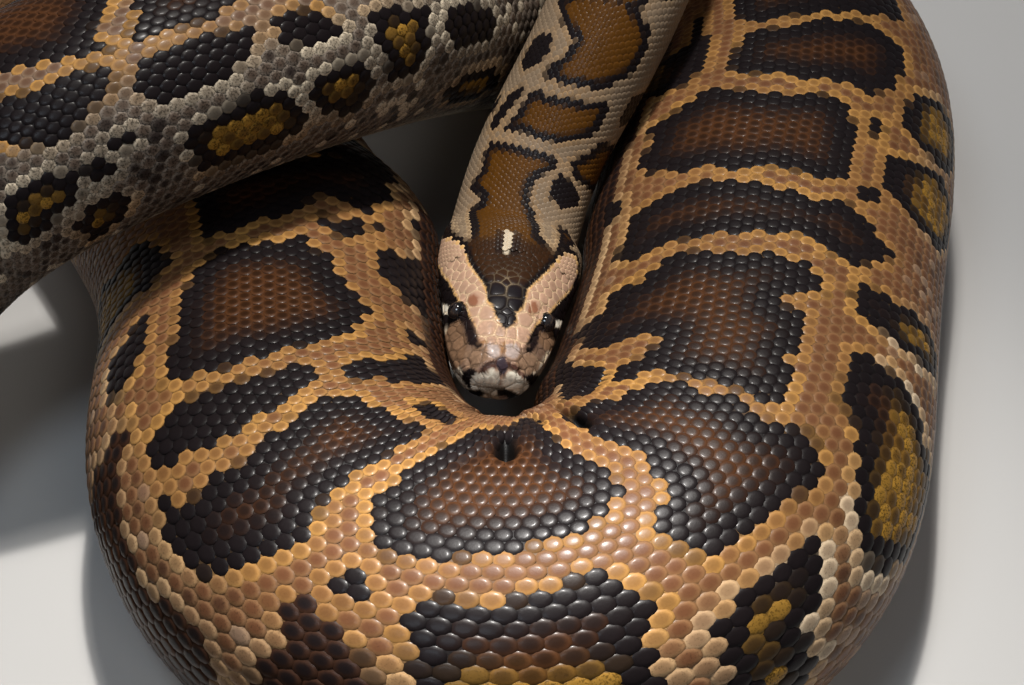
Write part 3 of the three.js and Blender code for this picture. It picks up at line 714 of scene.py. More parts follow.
def marking(q, u, speck):
    """Each scale's colours at its middle and at its rim, and how freckled it is.

    speck is a random number from 0 to 1 for each scale."""
    d, kind = nearest_marks(q, u)
    a = from_back(u)
    d = d / np.clip(half_round_at(q) / THICK_HALF_ROUND, 0.3, 1.1) ** 0.5
    neck = 1 - smooth(180, NECK_PATTERN_END, q)
    far = smooth(2300, 2550, q)
    rim, heart = ground_paint(q, u, d, speck, neck, far)
    low = np.maximum(far, smooth(0.27, 0.35, a))
    rim_inside, heart_inside, ochre = mark_paint(kind, np.clip(-d, 0, None), speck, low)
    inside = smooth(1.0, -1.0, d)
    rim, heart = mixed(rim, rim_inside, inside), mixed(heart, heart_inside, inside)
    head = q < 0
    if head.any():
        rim[head] = head_marking(q[head], u[head], rim[head])
        heart[head] = head_marking(q[head], u[head], heart[head])
    tone = (0.93 + 0.14 * speck)[:, None]
    belly = smooth(*BELLY_PALES, a)
    freckles = (0.45 + 0.45 * far) * smooth(0.20, 0.34, a) * (1 - neck) * (1 - inside) * (1 - 0.5 * belly)
    freckles = np.clip(freckles + ochre, 0, 1)
    return np.clip(heart * tone, 0, 1), np.clip(rim * tone, 0, 1), np.where(head, 0, freckles)


def midline(q):
    """The share round at which the head's middle seam runs: it leans aside towards the snout."""
    return np.interp(q, [-HEAD_LENGTH, -69], [0.12, 0])


def head_marking(q, u, behind):
    """The head's colour at each place; behind is the neck's colour, which takes over at the nape."""
    share = np.clip(1 + q / HEAD_LENGTH, 0, 1)
    _, up = head_place(share, angle_at(u))
    above_lips = up - mouth_height(share)
    across = np.abs(u - midline(q))
    rgb = np.tile(INK * 0.8, (len(q), 1))
    rgb = mixed(rgb, CHEEK, smooth(0.30, 0.22, share))
    rgb = mixed(rgb, SNOUT, smooth(0.16, 0.10, share) * smooth(0.5, 0.3, across))
    rgb = mixed(rgb, LIP, smooth(7.5, 5.5, above_lips) * smooth(0.34, 0.26, share))
    rgb = mixed(rgb, LIP, smooth(-7.0, -9.0, above_lips) * (across > 0.4))
    crown = mixed(CROWN_FRONT, CROWN_REAR, smooth(-73, -62, q))
    rgb = mixed(rgb, crown, smooth(0.31, 0.29, across) * smooth(0.17, 0.2, share))
    rgb = mixed(rgb, behind, smooth(-38, -30, q))
    for paint, outline in HEAD_MARKS:
        ring = np.array(outline, float)
        ring[:, 1] *= HEAD_HALF_ROUND
        d = distance_in(np.stack([q, u * HEAD_HALF_ROUND], 1), ring)
        inside = smooth(0.5, -0.5, d)
        if paint is STRIPE:
            rgb = mixed(rgb, INK * 0.9, smooth(5.0, 2.6, d) * smooth(-97, -90, q))
        rgb = mixed(rgb, paint, inside)
        if paint is STRIPE:
            rgb = mixed(rgb, STRIPE_EDGE, inside * smooth(-1.8, -0.6, d) * smooth(0.15, 0.3, share))
    place = surface(q, u) - NAPE
    face = np.stack([place[:, 0], place[:, 1] * math.sin(FACE_LEAN) + place[:, 2] * math.cos(FACE_LEAN)], 1)
    before = smooth(0.37, 0.34, share) * smooth(0.90, 0.86, np.abs(u))
    for paint, outline in FACE_MARKS:
        inside = smooth(0.4, -0.4, distance_in(face, outline))
        rgb = mixed(rgb, paint, inside * before)
    mottle = np.sin(1.9 * q + 60 * u) * np.sin(0.8 * q - 95 * u)
    rgb = rgb * (1 + 0.26 * mottle * before * smooth(0.30, 0.20, share))[:, None]
    # The pale bar at the back of the crown, between dark sides.
    bar = smooth(0.6, -0.6, np.abs(u + 0.024) * HEAD_HALF_ROUND - 2.2 - 0.1 * np.clip(q + 40, -6, 10))
    dark_sides = smooth(0.6, -0.6, np.abs(u + 0.02) * HEAD_HALF_ROUND - 8.0)
    length = smooth(-47, -45, q) * smooth(-27.5, -29, q)
    rgb = mixed(rgb, INK, dark_sides * length * 0.6)
    return mixed(rgb, CREAM * 0.66, bar * length)


def seam_tone(paint, q, u):
    """The seams between the head's plates: cream on the stripes, faint on the crown, dark on the cheeks;
    round the star on the crown they carry a painted highlight.
    """
    stripe = smooth(0.22, 0.34, paint[..., 0]) * smooth(-112, -106, q)
    crown = smooth(0.33, 0.27, np.abs(u - midline(q))) * smooth(-110, -100, q)
    star_highlight = hump(np.hypot(q + 69, u * HEAD_HALF_ROUND), 0, 10)
    dark = mixed(paint * 0.66, mixed(paint * 0.6, SEAM, 0.01), crown)
    # Painted highlight: the crown's seams turn pale round the star where they meet.
    dark = mixed(dark, SEAM, crown * star_highlight * 0.24)
    return mixed(dark, mixed(paint, SEAM, 0.55), stripe)


# ------------------------------------------------------------------ scale rows
# How the scales grow and shrink along the body: distance from the nape, step in mm.
PITCHES = np.array([[-60, 3.0], [0, 3.7], [150, 4.3], [450, 5.4], [900, 6.8], [1250, 7.1], [1480, 7.0],
                    [1560, 6.2], [1640, 7.6], [1710, 7.6], [1780, 6.5], [1900, 6.2], [2200, 6.3],
                    [2700, 6.8], [3100, 5.6], [3300, 4.7], [3600, 3.3], [3760, 2.4]])


def pitch(q):
    """The step from a scale to the next one in its row, in mm."""
    return np.interp(q, PITCHES[:, 0], PITCHES[:, 1])


COAT_FROM = -44.5
LENGTHWISE = np.arange(COAT_FROM - 10, BODY_LENGTH + 1, 1.0)
COUNTED = np.concatenate([[0], np.cumsum(1 / pitch(LENGTHWISE[:-1]))])
SKIN_DEPTH = 0.14          # how deep the skin lies under the outline, in steps of the scales
TRUNK_ROWS, TAIL_ROWS = 68, 44
BELLY_EDGE = 0.855         # the share round at which the belly plates start


def q_of(count):
    return np.interp(count, COUNTED, LENGTHWISE)


def count_of(q):
    return np.interp(q, LENGTHWISE, COUNTED)


def row_share(row, rows):
    """The share round of a row; the rows are narrower along the back than on the flanks."""
    x = (row - (rows - 1) / 2) / ((rows - 1) / 2)
    return BELLY_EDGE * x * (0.94 + 0.06 * x * x)


def flat_pattern(bm):
    """A flat shape as arrays of its corners and triangles; the shape itself is let go."""
    bmesh.ops.triangulate(bm, faces=bm.faces[:])
    bm.verts.index_update()
    corners = np.array([v.co[:2] for v in bm.verts])
    triangles = np.array([[v.index for v in f.verts] for f in bm.faces])
    bm.free()
    return corners, triangles


def scale_pattern(corners, rings):
    """A scale's corners as shares of its half length and half width, their rings, and its triangles."""
    bm = bmesh.new()
    bmesh.ops.create_circle(bm, cap_ends=True, cap_tris=False, segments=corners, radius=1)
    face = bm.faces[:]
    for _ in rings[1:]:
        face = [face[0]]
        bmesh.ops.inset_region(bm, faces=face, thickness=0.1, use_even_offset=False,
                               use_boundary=True)
    bmesh.ops.poke(bm, faces=face)
    flat, triangles = flat_pattern(bm)
    reach = np.linalg.norm(flat, axis=1)
    levels = np.unique(np.round(reach, 4))[::-1]
    wanted = np.append(rings, 0.0)[:len(levels)]
    ring = np.array([wanted[np.argmin(np.abs(levels - r))] for r in reach])
    way = np.arctan2(flat[:, 1], flat[:, 0])
    along = ring * soft_power(np.cos(way), 0.92)
    across = ring * soft_power(np.sin(way), np.where(np.cos(way) > 0, 1.12, 0.96))
    return along, across, ring, triangles


def placed(name, data):
    """Puts a mesh, a light or a camera into the scene as an object at the origin."""
    piece = bpy.data.objects.new(name, data)
    bpy.context.scene.collection.objects.link(piece)
    return piece


def shaped_piece(name, bm):
    """A shaped form as a smooth piece; the form itself is let go."""
    mesh = bpy.data.meshes.new(name)
    bm.to_mesh(mesh)
    bm.free()
    mesh.shade_smooth()
    return placed(name, mesh)


def mesh_piece(name, points, triangles, colours, uv, freckles=0):
    """A joined mesh from arrays, with its markings and its unwrap."""
    mesh = bpy.data.meshes.new(name)
    mesh.vertices.add(len(points))
    mesh.vertices.foreach_set("co", to_frame(points).astype(np.float32).ravel())
    mesh.loops.add(triangles.size)
    mesh.loops.foreach_set("vertex_index", triangles.ravel().astype(np.int32))
    mesh.polygons.add(len(triangles))
    mesh.polygons.foreach_set("loop_start", np.arange(0, triangles.size, 3, dtype=np.int32))
    mesh.update(calc_edges=True)
    mesh.validate()
    dress(mesh, colours, freckles, uv)
    mesh.shade_smooth()
    return placed(name, mesh)


def dress(mesh, colours, freckles, uv):
    """Keeps a colour at each vertex, with how freckled it is, and the unwrap at each corner."""
    layer = mesh.color_attributes.new("marking", "FLOAT_COLOR", "POINT")
    paint = np.empty((len(colours), 4), np.float32)
    paint[:, :3], paint[:, 3] = colours, freckles
    layer.data.foreach_set("color", paint.ravel())
    corner = np.empty(len(mesh.loops), np.int32)
    mesh.loops.foreach_get("vertex_index", corner)
    unwrap = mesh.uv_layers.new(name="OFBake")
    unwrap.data.foreach_set("uv", uv[corner].astype(np.float32).ravel())


PATCH = 0.0015             # half the width of a scale's patch on the unwrap
PATCH_MARGIN = 12          # how far a piece's unwrap runs on past its first and last scales, in mm


def patches(q, u, q_from, q_to, pattern):
    """The unwrap of many scales: for each, the pattern's small patch at the place of its middle."""
    middle = np.stack([(q - q_from + PATCH_MARGIN) / (q_to - q_from + 2 * PATCH_MARGIN), (u + 1) / 2], 1)
    return (middle[:, None, :] + pattern[None, :, :]).reshape(-1, 2)


def copies(triangles, count, corners):
    """The triangles of many copies of a pattern that has so many corners."""
    return (triangles[None] + np.arange(count)[:, None, None] * corners).reshape(-1, 3)


# Pinched folds at the inside of the front bend: start, end, depth and half width in mm.
FOLDS = [((1658, -.150), (1658, -.182), 12.0, 6.6), ((1656, -.17), (1630, -.10), 2.2, 5.0),
         ((1664, -.17), (1690, -.10), 1.8, 5.0), ((1728, -.18), (1735, -.28), 7.5, 5.5),
         ((1730, -.19), (1762, -.17), 2.0, 5.0), ((1700, -.24), (1694, -.32), 3.0, 5.0),
         ((1600, -.22), (1560, -.22), 2.4, 4.0), ((1598, -.27), (1545, -.28), 2.2, 4.0),
         ((1770, -.25), (1810, -.22), 2.0, 4.0)]
BARE_DEPTH = 3.6           # where a fold is deeper than this, in mm, its skin shows bare


def folds(q, u):
    """How deep the skin is drawn in, in mm, where the front bend pinches it."""
    depth = np.zeros(np.shape(q))
    for (s0, u0), (s1, u1), deep, half in FOLDS:
        line = np.array([s1 - s0, (u1 - u0) * BEND_HALF_ROUND])
        spot = np.stack([q - s0, (u - u0) * BEND_HALF_ROUND], -1)
        part = np.clip(spot @ line / (line @ line), 0, 1)
        away = np.linalg.norm(spot - part[..., None] * line, axis=-1)
        depth = depth + deep * np.exp(-(away / half) ** 2) * (1 - 0.6 * part)
    return depth


def painted_fold_shade(q, u):
    """How much painted shade darkens the colour in the front bend's folds: 1 outside them."""
    return 1 - 0.9 * smooth(1.6, 5.0, folds(q, u))


def scale_seeds(q_from, q_to, rows):
    """The scales' counts and rows, staggered row by row, and each one's own small differences."""
    column = np.arange(math.ceil(count_of(q_from)), math.ceil(count_of(q_to)))
    count, row = np.meshgrid(column.astype(float), np.arange(rows), indexing="ij")
    count = count + 0.5 * (row % 2)
    count, row = count.ravel(), row.ravel().astype(float)
    n = len(count)
    count = count + rng.normal(0, 0.022, n)
    row = row + rng.normal(0, 0.030, n)
    speck = rng.random(n)
    size = rng.normal(1.0, 0.03, n)
    lift = rng.normal(0, 0.006, n)
    keep = folds(q_of(count), row_share(row, rows)) < BARE_DEPTH
    return [values[keep] for values in (count, row, speck, size, lift)]


# From a scale's middle to its rim: how domed it is, in steps, how near its rim's colour, and how much painted
# shade darkens it, most along the rim where it tucks under its neighbours.
SCALE_RINGS = [0, 0.45, 0.8, 1.0]
SCALE_DOME = [0.064, 0.059, 0.039, -0.014]
SCALE_RIM = [0.0, 0.12, 0.80, 1.0]
SCALE_PAINTED_SHADE = [1.0, 1.0, 1.0, 0.60]


def scale_colours(ring, q, u, middle_q, middle_u, speck):
    """The scales' colours, each from its middle to its dark rim, and how freckled they are."""
    heart, rim, freckles = marking(middle_q, middle_u, speck)
    rim = mixed(rim, seam_tone(rim, middle_q, middle_u), 0.7 * (middle_q < -6))
    to_rim = np.interp(ring, SCALE_RINGS, SCALE_RIM)
    # Painted shade along each scale's rim, where it meets and tucks under its neighbours.
    painted_rim_shade = np.interp(ring, SCALE_RINGS, SCALE_PAINTED_SHADE)
    colours = mixed(heart[:, None, :], rim[:, None, :], np.broadcast_to(to_rim, q.shape))
    # Painted shade darkens the scales that lie in the front bend's folds.
    colours = colours * painted_rim_shade[None, :, None] * painted_fold_shade(q, u)[:, :, None]
    return np.clip(colours, 0, 1).reshape(-1, 3), np.repeat(freckles, len(ring))


def coat_piece(name, q_from, q_to, rows, corners, rings):
    """All the scales whose middles lie between two distances behind the nape."""
    along, across, ring, triangles = scale_pattern(corners, rings)
    count, row, speck, size, lift = scale_seeds(q_from, q_to, rows)
    middle_q, middle_u = q_of(count), row_share(row, rows)
    step = pitch(middle_q)
    # The rows' own spacing in mm; a scale's breadth is that of the hexagon that fits the lattice.
    apart = (row_share(row + 0.5, rows) - row_share(row - 0.5, rows)) * half_round_at(middle_q)
    breadth = 1.05 * (apart ** 2 + step ** 2 / 4) / (2 * apart) / half_round_at(middle_q)
    q = q_of(count[:, None] + 0.58 * size[:, None] * along)
    u = middle_u[:, None] + (breadth * size)[:, None] * across
    # The scales are more domed on the flanks, and stand loose there round the front bend.
    loose = smooth(0.16, 0.34, np.abs(middle_u)) * smooth(1430, 1560, middle_q) * smooth(1960, 1860, middle_q)
    domed = np.maximum(loose, smooth(0.18, 0.30, np.abs(middle_u)) * 0.8)
    dome = np.interp(ring, SCALE_RINGS, SCALE_DOME) * (1 + 0.5 * domed[:, None])
    shingle = 0.034 * along + 0.022 * np.maximum(along, 0)
    height = (-SKIN_DEPTH + dome + shingle + lift[:, None]) * step[:, None] - folds(q, u)
    points = surface(q, u, height).reshape(-1, 3)
    colours, freckles = scale_colours(ring, q, u, middle_q, middle_u, speck)
    uv = patches(middle_q, middle_u, q_from, q_to, np.stack([along, across], 1) * PATCH)
    return mesh_piece(name, points, copies(triangles, len(count), len(ring)), colours, uv, freckles)


def belly_plates(name, q_from, q_to):
    """One broad plate for each step along, from one edge of the belly to the other."""
    bm = bmesh.new()
    bmesh.ops.create_grid(bm, x_segments=3, y_segments=12, size=1)
    flat, triangles = flat_pattern(bm)
    count = np.arange(math.ceil(count_of(q_from)), math.ceil(count_of(q_to))).astype(float)
    n = len(count)
    along, across = flat.T
    bow = 0.16 * across ** 2
    q = q_of(count[:, None] + 0.56 * along - bow)
    u = np.broadcast_to(1 + (1 - BELLY_EDGE + 0.014) * across, q.shape)
    step = pitch(q_of(count))[:, None]
    rim = np.maximum(np.abs(along), np.abs(across)) > 0.99
    height = (-SKIN_DEPTH + np.where(rim, 0.0, 0.07) + 0.035 * along) * step
    points = surface(q, u, height).reshape(-1, 3)
    speck = rng.random(n)
    paint = marking(q_of(count), np.ones(n), 0.5 + 0.5 * speck)[0]
    edge_dark = 1 - 0.35 * smooth(0.8, 1, np.abs(across)) * (rng.random((n, 1)) < 0.5)
    colours = np.clip(paint[:, None, :] * edge_dark[:, :, None], 0, 1).reshape(-1, 3)
    # A plate crosses the whole belly, so its patch is as wide as that on the unwrap.
    uv = patches(q_of(count), np.zeros(n), q_from, q_to, np.stack([along * PATCH, across * 0.3], 1))
    return mesh_piece(name, points, copies(triangles, n, len(flat)), colours, uv)


# ------------------------------------------------------------------ head relief
def head_place(share, angle):
    """Where a place on the head lies across and above the head's own axis, in mm."""
    form = eased(HEAD_FORM, share)
    power = section_power(share)
    rise = soft_power(np.cos(angle), power)
    across = form[:, 0] * (1 - form[:, 3] * np.maximum(rise, 0)) * soft_power(np.sin(angle), power)
    return across, rise * np.where(rise > 0, form[:, 1], form[:, 2])


def mouth_height(share):
    """The mouth line's height beside the head's axis."""
    f = np.clip(share / MOUTH_CORNER, 0, 1)
    return -((1 - f) ** 2 * MOUTH_FRONT + 2 * f * (1 - f) * (MOUTH_FRONT - 1.5) + f * f * MOUTH_BACK)


def hump(x, middle, half):
    return np.exp(-((x - middle) / half) ** 2)


EYES = [(side * EYE_OUT, EYE_ALONG * HEAD_LENGTH, EYE_UP) for side in (1, -1)]
# Small hollows of the head: across, behind the snout, above the axis, radius, depth.
HOLLOWS = [(side * x, y, z, radius, depth) for side in (1, -1) for x, y, z, radius, depth in (
    (14.6, 6.6, 6.2, 1.5, 2.6),
    (5.6, 0.2, -1.5, 1.0, 1.3),
    (12.4, 2.6, -2.4, 1.1, 1.5),
    (17.6, 6.6, -3.0, 1.1, 1.4))]


# The head's broad hollows: depth, middle and half length as shares from the snout, then middle and half
# breadth in degrees from the crown. In turn before the eye, down the crown, on the cheek, on the snout.
BROAD_HOLLOWS = [(1.3, 0.21, 0.09, 66, 14), (1.0, 0.70, 0.22, 0, 13), (0.9, 0.62, 0.12, 62, 12),
                 (0.6, 0.2, 0.1, 0, 10)]


def relief(q, u):
    """How much the head's skin stands in from its smooth outline, as millimetres below zero."""
    share = 1 + q / HEAD_LENGTH
    angle = angle_at(u)
    across, up = head_place(np.clip(share, 0, 1), angle)
    behind = share * HEAD_LENGTH
    degrees = np.degrees(np.abs(angle))
    lip = up - mouth_height(share)
    along_mouth = smooth(MOUTH_CORNER + 0.03, MOUTH_CORNER - 0.03, share)
    depth = 1.7 * hump(lip, 0, 1.0) * along_mouth
    for deep, middle, length, side, breadth in BROAD_HOLLOWS:
        depth += deep * hump(share, middle, length) * hump(degrees, side, breadth)
    for x, y, z in EYES:
        away = np.sqrt((across - x) ** 2 + (behind - y) ** 2 + (up - z) ** 2)
        depth += 0.9 * hump(away, 8.5, 2.4) * (degrees > 50)
    for x, y, z, radius, deep in HOLLOWS:
        away = np.sqrt((across - x) ** 2 + (behind - y) ** 2 + (up - z) ** 2)
        depth += deep * np.exp(-(away / radius) ** 2)
    return -depth * smooth(1.0, 0.93, share)


def skin_point(q, u):
    """The skin itself: under the outline by the depth of the scales, with the head's relief."""
    q, u = np.broadcast_arrays(np.asarray(q, float), u)
    out = -SKIN_DEPTH * pitch(q.ravel()).reshape(q.shape) - folds(q, u)
    head = q < 0
    if head.any():
        out[head] += relief(q[head], u[head])
    return surface(q, u, out)


# ------------------------------------------------------------------ skin
# How the skin's steps lie along the body (step behind the nape, mm) and round it (even share, share).
# They are closest where the front bend is pinched.
STEPS_ALONG = [(250, 1640), (274, 1676), (280, 1716), (294, 1746)]
STEPS_ROUND = [(-1, -1), (-0.3125, -0.22), (0.0208333, -0.11), (1, 1)]
SNOUT_STEPS, SNOUT_DEPTH = 3, 2.4    # the first few steps are short, to round the snout's tip


def make_skin():
    """One skin from snout to tail: a flat grid, finer over the head, rolled up round the body."""
    head_steps, body_steps, round_steps = 64, 600, 96
    bm = bmesh.new()
    bmesh.ops.create_grid(bm, x_segments=head_steps + body_steps, y_segments=round_steps, size=1)
    over_head = head_steps / (head_steps + body_steps) * 2 - 1
    fine_edges = [e for e in bm.edges if all(v.co.x <= over_head for v in e.verts)]
    bmesh.ops.subdivide_edges(bm, edges=fine_edges, cuts=1, use_grid_fill=True)
    bmesh.ops.triangulate(bm, faces=[f for f in bm.faces if len(f.verts) > 4])
    flat = np.array([v.co[:2] for v in bm.verts])
    steps = (flat[:, 0] + 1) / 2 * (head_steps + body_steps)
    knots = [(0, -HEAD_LENGTH), (SNOUT_STEPS, -HEAD_LENGTH + SNOUT_DEPTH), (head_steps, 0)]
    knots += [(head_steps + step, mm) for step, mm in STEPS_ALONG]
    knots += [(head_steps + body_steps, BODY_LENGTH)]
    q = np.interp(steps, *zip(*knots))
    u = np.interp(flat[:, 1], *zip(*STEPS_ROUND))
    points = to_frame(skin_point(q, u))
    unroll = bm.loops.layers.uv.new("OFBake")
    place = np.stack([(q + HEAD_LENGTH) / (HEAD_LENGTH + BODY_LENGTH), (u + 1) / 2], 1)
    for i, vert in enumerate(bm.verts):
        vert.index = i
    for face in bm.faces:
        for loop in face.loops:
            loop[unroll].uv = place[loop.vert.index]
    paint = marking(q, u, np.full(len(q), 0.5))[1]
    layer = bm.verts.layers.float_color.new("marking")
    # The skin in the front bend's folds gets painted shade.
    paint = mixed(paint * 0.62, seam_tone(paint, q, u), smooth(-30, -50, q)) * painted_fold_shade(q, u)[:, None]
    for i, vert in enumerate(bm.verts):
        vert.co = points[i]
        vert[layer] = (*np.clip(paint[i], 0, 1), 1)
    bmesh.ops.remove_doubles(bm, verts=bm.verts[:], dist=1e-6)
    bmesh.ops.holes_fill(bm, edges=[e for e in bm.edges if e.is_boundary])
    bmesh.ops.recalc_face_normals(bm, faces=bm.faces[:])
    return shaped_piece("skin", bm)


# ------------------------------------------------------------------ plates of the head
def lip_share(share, off):
    """The share round at which a place lies so many mm above the mouth line."""
    angles = np.radians(np.linspace(60, 178, 240))
    _, up = head_place(np.full(len(angles), share), angles)
    line = mouth_height(np.array([share]))[0] + off
    return np.interp(np.interp(-line, -up, angles), SECTION_ANGLES, SECTION_SHARES)


LARGE_PLATES = [  # behind the nape, share round from the middle seam, half size in mm
    (-114, .119, 4.4), (-110, .302, 3.6), (-124.5, .158, 4.2),
    (-124.5, .46, 3.6), (-108.5, .147, 2.8), (-108.5, .059, 2.4),
    (-99.5, .181, 5.0), (-101, .050, 3.4), (-91, .161, 4.6), (-93.5, .050, 3.5),
    (-79.5, .254, 5.6), (-83.2, .076, 5.0), (-74, .0765, 5.2), (-73.5, .155, 3.6),
    (-66, .125, 3.4), (-65.5, .055, 3.0), (-60.5, .125, 3.0), (-61.5, .028, 2.6),
    (-118, .390, 3.6), (-112.5, .480, 3.6), (-104, .490, 3.4), (-103, .395, 3.2),
    (-95, .420, 3.2), (-89.5, .445, 2.6),
]
ROSTRAL = (-121, 0.12, 3.2)


def filler_size(q, u):
    """Half the breadth of the small plates that fill the head between the named ones."""
    away = np.abs(u - midline(q))
    size = np.interp(q, [-126, -104, -80, -62, -44], [2.3, 2.5, 2.5, 1.9, 1.8])
    size = size + 0.8 * hump(away, 0.33, 0.10) * smooth(-104, -92, q) + 0.5 * hump(away, 0.40, 0.12)
    return np.where(away > 0.72, 2.4, size)


def pair(q, u, size, middle=0):
    """A plate's seed on each side of a middle line."""
    return [(q, middle + side * u, size) for side in (1, -1)]


EYE_SHARE, EYE_Q = angle_share(66), (EYE_ALONG - 1) * HEAD_LENGTH
PLATES_ROUND_EYE = 11


def named_seeds():
    """The head's larger plates: crown and snout, then the lips', the chin's and those round the eyes."""
    seeds = [ROSTRAL]
    for q, away, size in LARGE_PLATES:
        seeds += pair(q, away, size, midline(q))
    for i in range(11):
        share = 0.075 + 0.056 * i + 0.0004 * i * i
        seeds += pair((share - 1) * HEAD_LENGTH, lip_share(share, 3.4), 3.5 - 0.04 * i)
    for i in range(14):
        share = 0.016 + 0.052 * i
        seeds += pair((share - 1) * HEAD_LENGTH, lip_share(share, -3.4), 3.1)
    seeds.append((-HEAD_LENGTH + 0.6, 0.86, 2.6))
    for i in range(5):
        seeds += pair((0.07 * i - 0.94) * HEAD_LENGTH, 0.93, 4.2)
    for i in range(PLATES_ROUND_EYE):
        way = i / PLATES_ROUND_EYE * 2 * math.pi
        seeds += pair(EYE_Q + 7.6 * math.cos(way), EYE_SHARE + 7.0 / HEAD_HALF_ROUND * math.sin(way), 2.4)
    return seeds


def settled(q, u, size, fixed, grid_q, grid_u):
    """The plates moved to the middle of what is nearest to each, apart from the fixed ones."""
    grid = surface(grid_q, grid_u)
    for _ in range(4):
        gaps = np.linalg.norm(grid[:, None] - surface(q, u)[None], axis=2) / size
        nearest = np.argmin(gaps, axis=1)
        count = np.maximum(np.bincount(nearest, minlength=len(q)), 1)
        move_q = np.bincount(nearest, grid_q - q[nearest], len(q)) / count
        move_u = np.bincount(nearest, grid_u - u[nearest], len(q)) / count
        q[fixed:] += move_q[fixed:]
        u[fixed:] += move_u[fixed:]
    return q, u, size


def plate_seeds():
    """The places of all the head's plates, and their half sizes in mm.

    The small ones are laid wherever none is near yet, then settled between their neighbours."""
    named = named_seeds()
    q, u, size = (np.array([seed[k] for seed in named], float) for k in range(3))
    grid_q, grid_u = np.meshgrid(np.arange(-124.5, -43, 1.3), np.linspace(-0.99, 0.99, 170), indexing="ij")
    grid_u = grid_u + 0.006 * (np.arange(len(grid_q)) % 2)[:, None]
    from_middle = np.abs(grid_u - midline(grid_q)).ravel()
    order = np.argsort(from_middle + 0.01 * rng.random(grid_q.size), kind="stable")
    grid_q, grid_u = grid_q.ravel()[order], grid_u.ravel()[order]
    grid = surface(grid_q, grid_u)
    spots, eyes = surface(q, u), surface(np.full(2, EYE_Q), np.array([-EYE_SHARE, EYE_SHARE]))
    wanted = filler_size(grid_q, grid_u)
    free = np.linalg.norm(grid[:, None] - eyes[None], axis=2).min(axis=1) > 7.4
    clear = np.linalg.norm(grid[:, None] - spots[None], axis=2) > size + 0.80 * wanted[:, None]
    free &= np.all(clear, axis=1)
    while free.any():
        at = np.argmax(free)
        q, u, size = np.append(q, grid_q[at]), np.append(u, grid_u[at]), np.append(size, wanted[at])
        free &= np.linalg.norm(grid - grid[at], axis=1) > 0.90 * (wanted + wanted[at])
    return settled(q, u, size, len(named), grid_q, grid_u)


def clipped(polygon, toward, reach):
    """The part of a polygon that lies no further than reach along a direction."""
    kept = []
    for a, b in zip(polygon, polygon[1:] + polygon[:1]):
        da, db = a @ toward - reach, b @ toward - reach
        if da <= 0:
            kept.append(a)
        if da * db < 0:
            kept.append(a + (b - a) * (da / (da - db)))
    return kept


def rounded(polygon, samples):
    """A polygon with softened corners, as evenly spaced points round it."""
    ring = np.array(polygon)
    for _ in range(2):
        ahead = np.roll(ring, -1, axis=0)
        ring = np.stack([ring * 0.87 + ahead * 0.13, ring * 0.13 + ahead * 0.87], 1).reshape(-1, 2)
    closed = np.vstack([ring, ring[:1]])
    walk = distance_along(closed)
    at = np.linspace(0, walk[-1], samples, endpoint=False)
    return np.stack([np.interp(at, walk, closed[:, 0]), np.interp(at, walk, closed[:, 1])], 1)


def skin_tree():
    """The head's skin as a tree that lines of sight can be cast on."""
    q, u = np.meshgrid(np.linspace(-HEAD_LENGTH, 0, 190), np.linspace(-1, 1, 301), indexing="ij")
    points = to_frame(skin_point(q, u)).reshape(-1, 3)
    corner = np.arange(q.size).reshape(q.shape)
    quads = np.stack([corner[:-1, :-1], corner[1:, :-1], corner[1:, 1:], corner[:-1, 1:]], -1).reshape(-1, 4)
    front = Vector(points[:301].mean(axis=0))
    fan = [(i, i + 1, len(points)) for i in range(300)]
    return BVHTree.FromPolygons([Vector(p) for p in points] + [front], quads.tolist() + fan)


def place_finder():
    """Finds the head's (behind the nape, share round) nearest to a point."""
    q, u = np.meshgrid(np.arange(-126, -20, 0.9), np.linspace(-1, 1, 200), indexing="ij")
    q, u = q.ravel(), u.ravel()
    places = KDTree(len(q))
    for i, p in enumerate(surface(q, u, -0.7)):
        places.insert(p, i)
    places.balance()
    return lambda points: [(q[i], u[i]) for i in (places.find(p)[1] for p in points)]


def outward_at(q, u):
    """The outward direction of the smooth outline, from its own slopes."""
    q = np.maximum(q, -HEAD_LENGTH + 1)
    slope_q = surface(q + 0.8, u, 0) - surface(q - 0.8, u, 0)
    slope_u = surface(q, u + 0.008, 0) - surface(q, u - 0.008, 0)
    normal = unit(np.cross(slope_q, slope_u))
    centre = surface(q, np.zeros_like(u), 0) / 2 + surface(q, np.ones_like(u), 0) / 2
    away = np.sum(normal * (surface(q, u, 0) - centre), axis=1)
    return normal * np.sign(away)[:, None]


PLATE_ROUND = 18           # corners round a plate
PLATE_GAP = 0.12           # from a plate's edge to the middle of the seam, in mm
PLATE_RINGS = (1.0, 0.91, 0.74, 0.46, 0.0)           # a plate's rings, as shares of its outline
PLATE_RISE = (-0.06, 0.24, 0.35, 0.40, 0.42)         # and how high each stands over the skin, in mm
PLATE_BOUND = [(1, .4), (.4, 1), (-.4, 1), (-1, .4), (-1, -.4), (-.4, -1), (.4, -1), (1, -.4)]


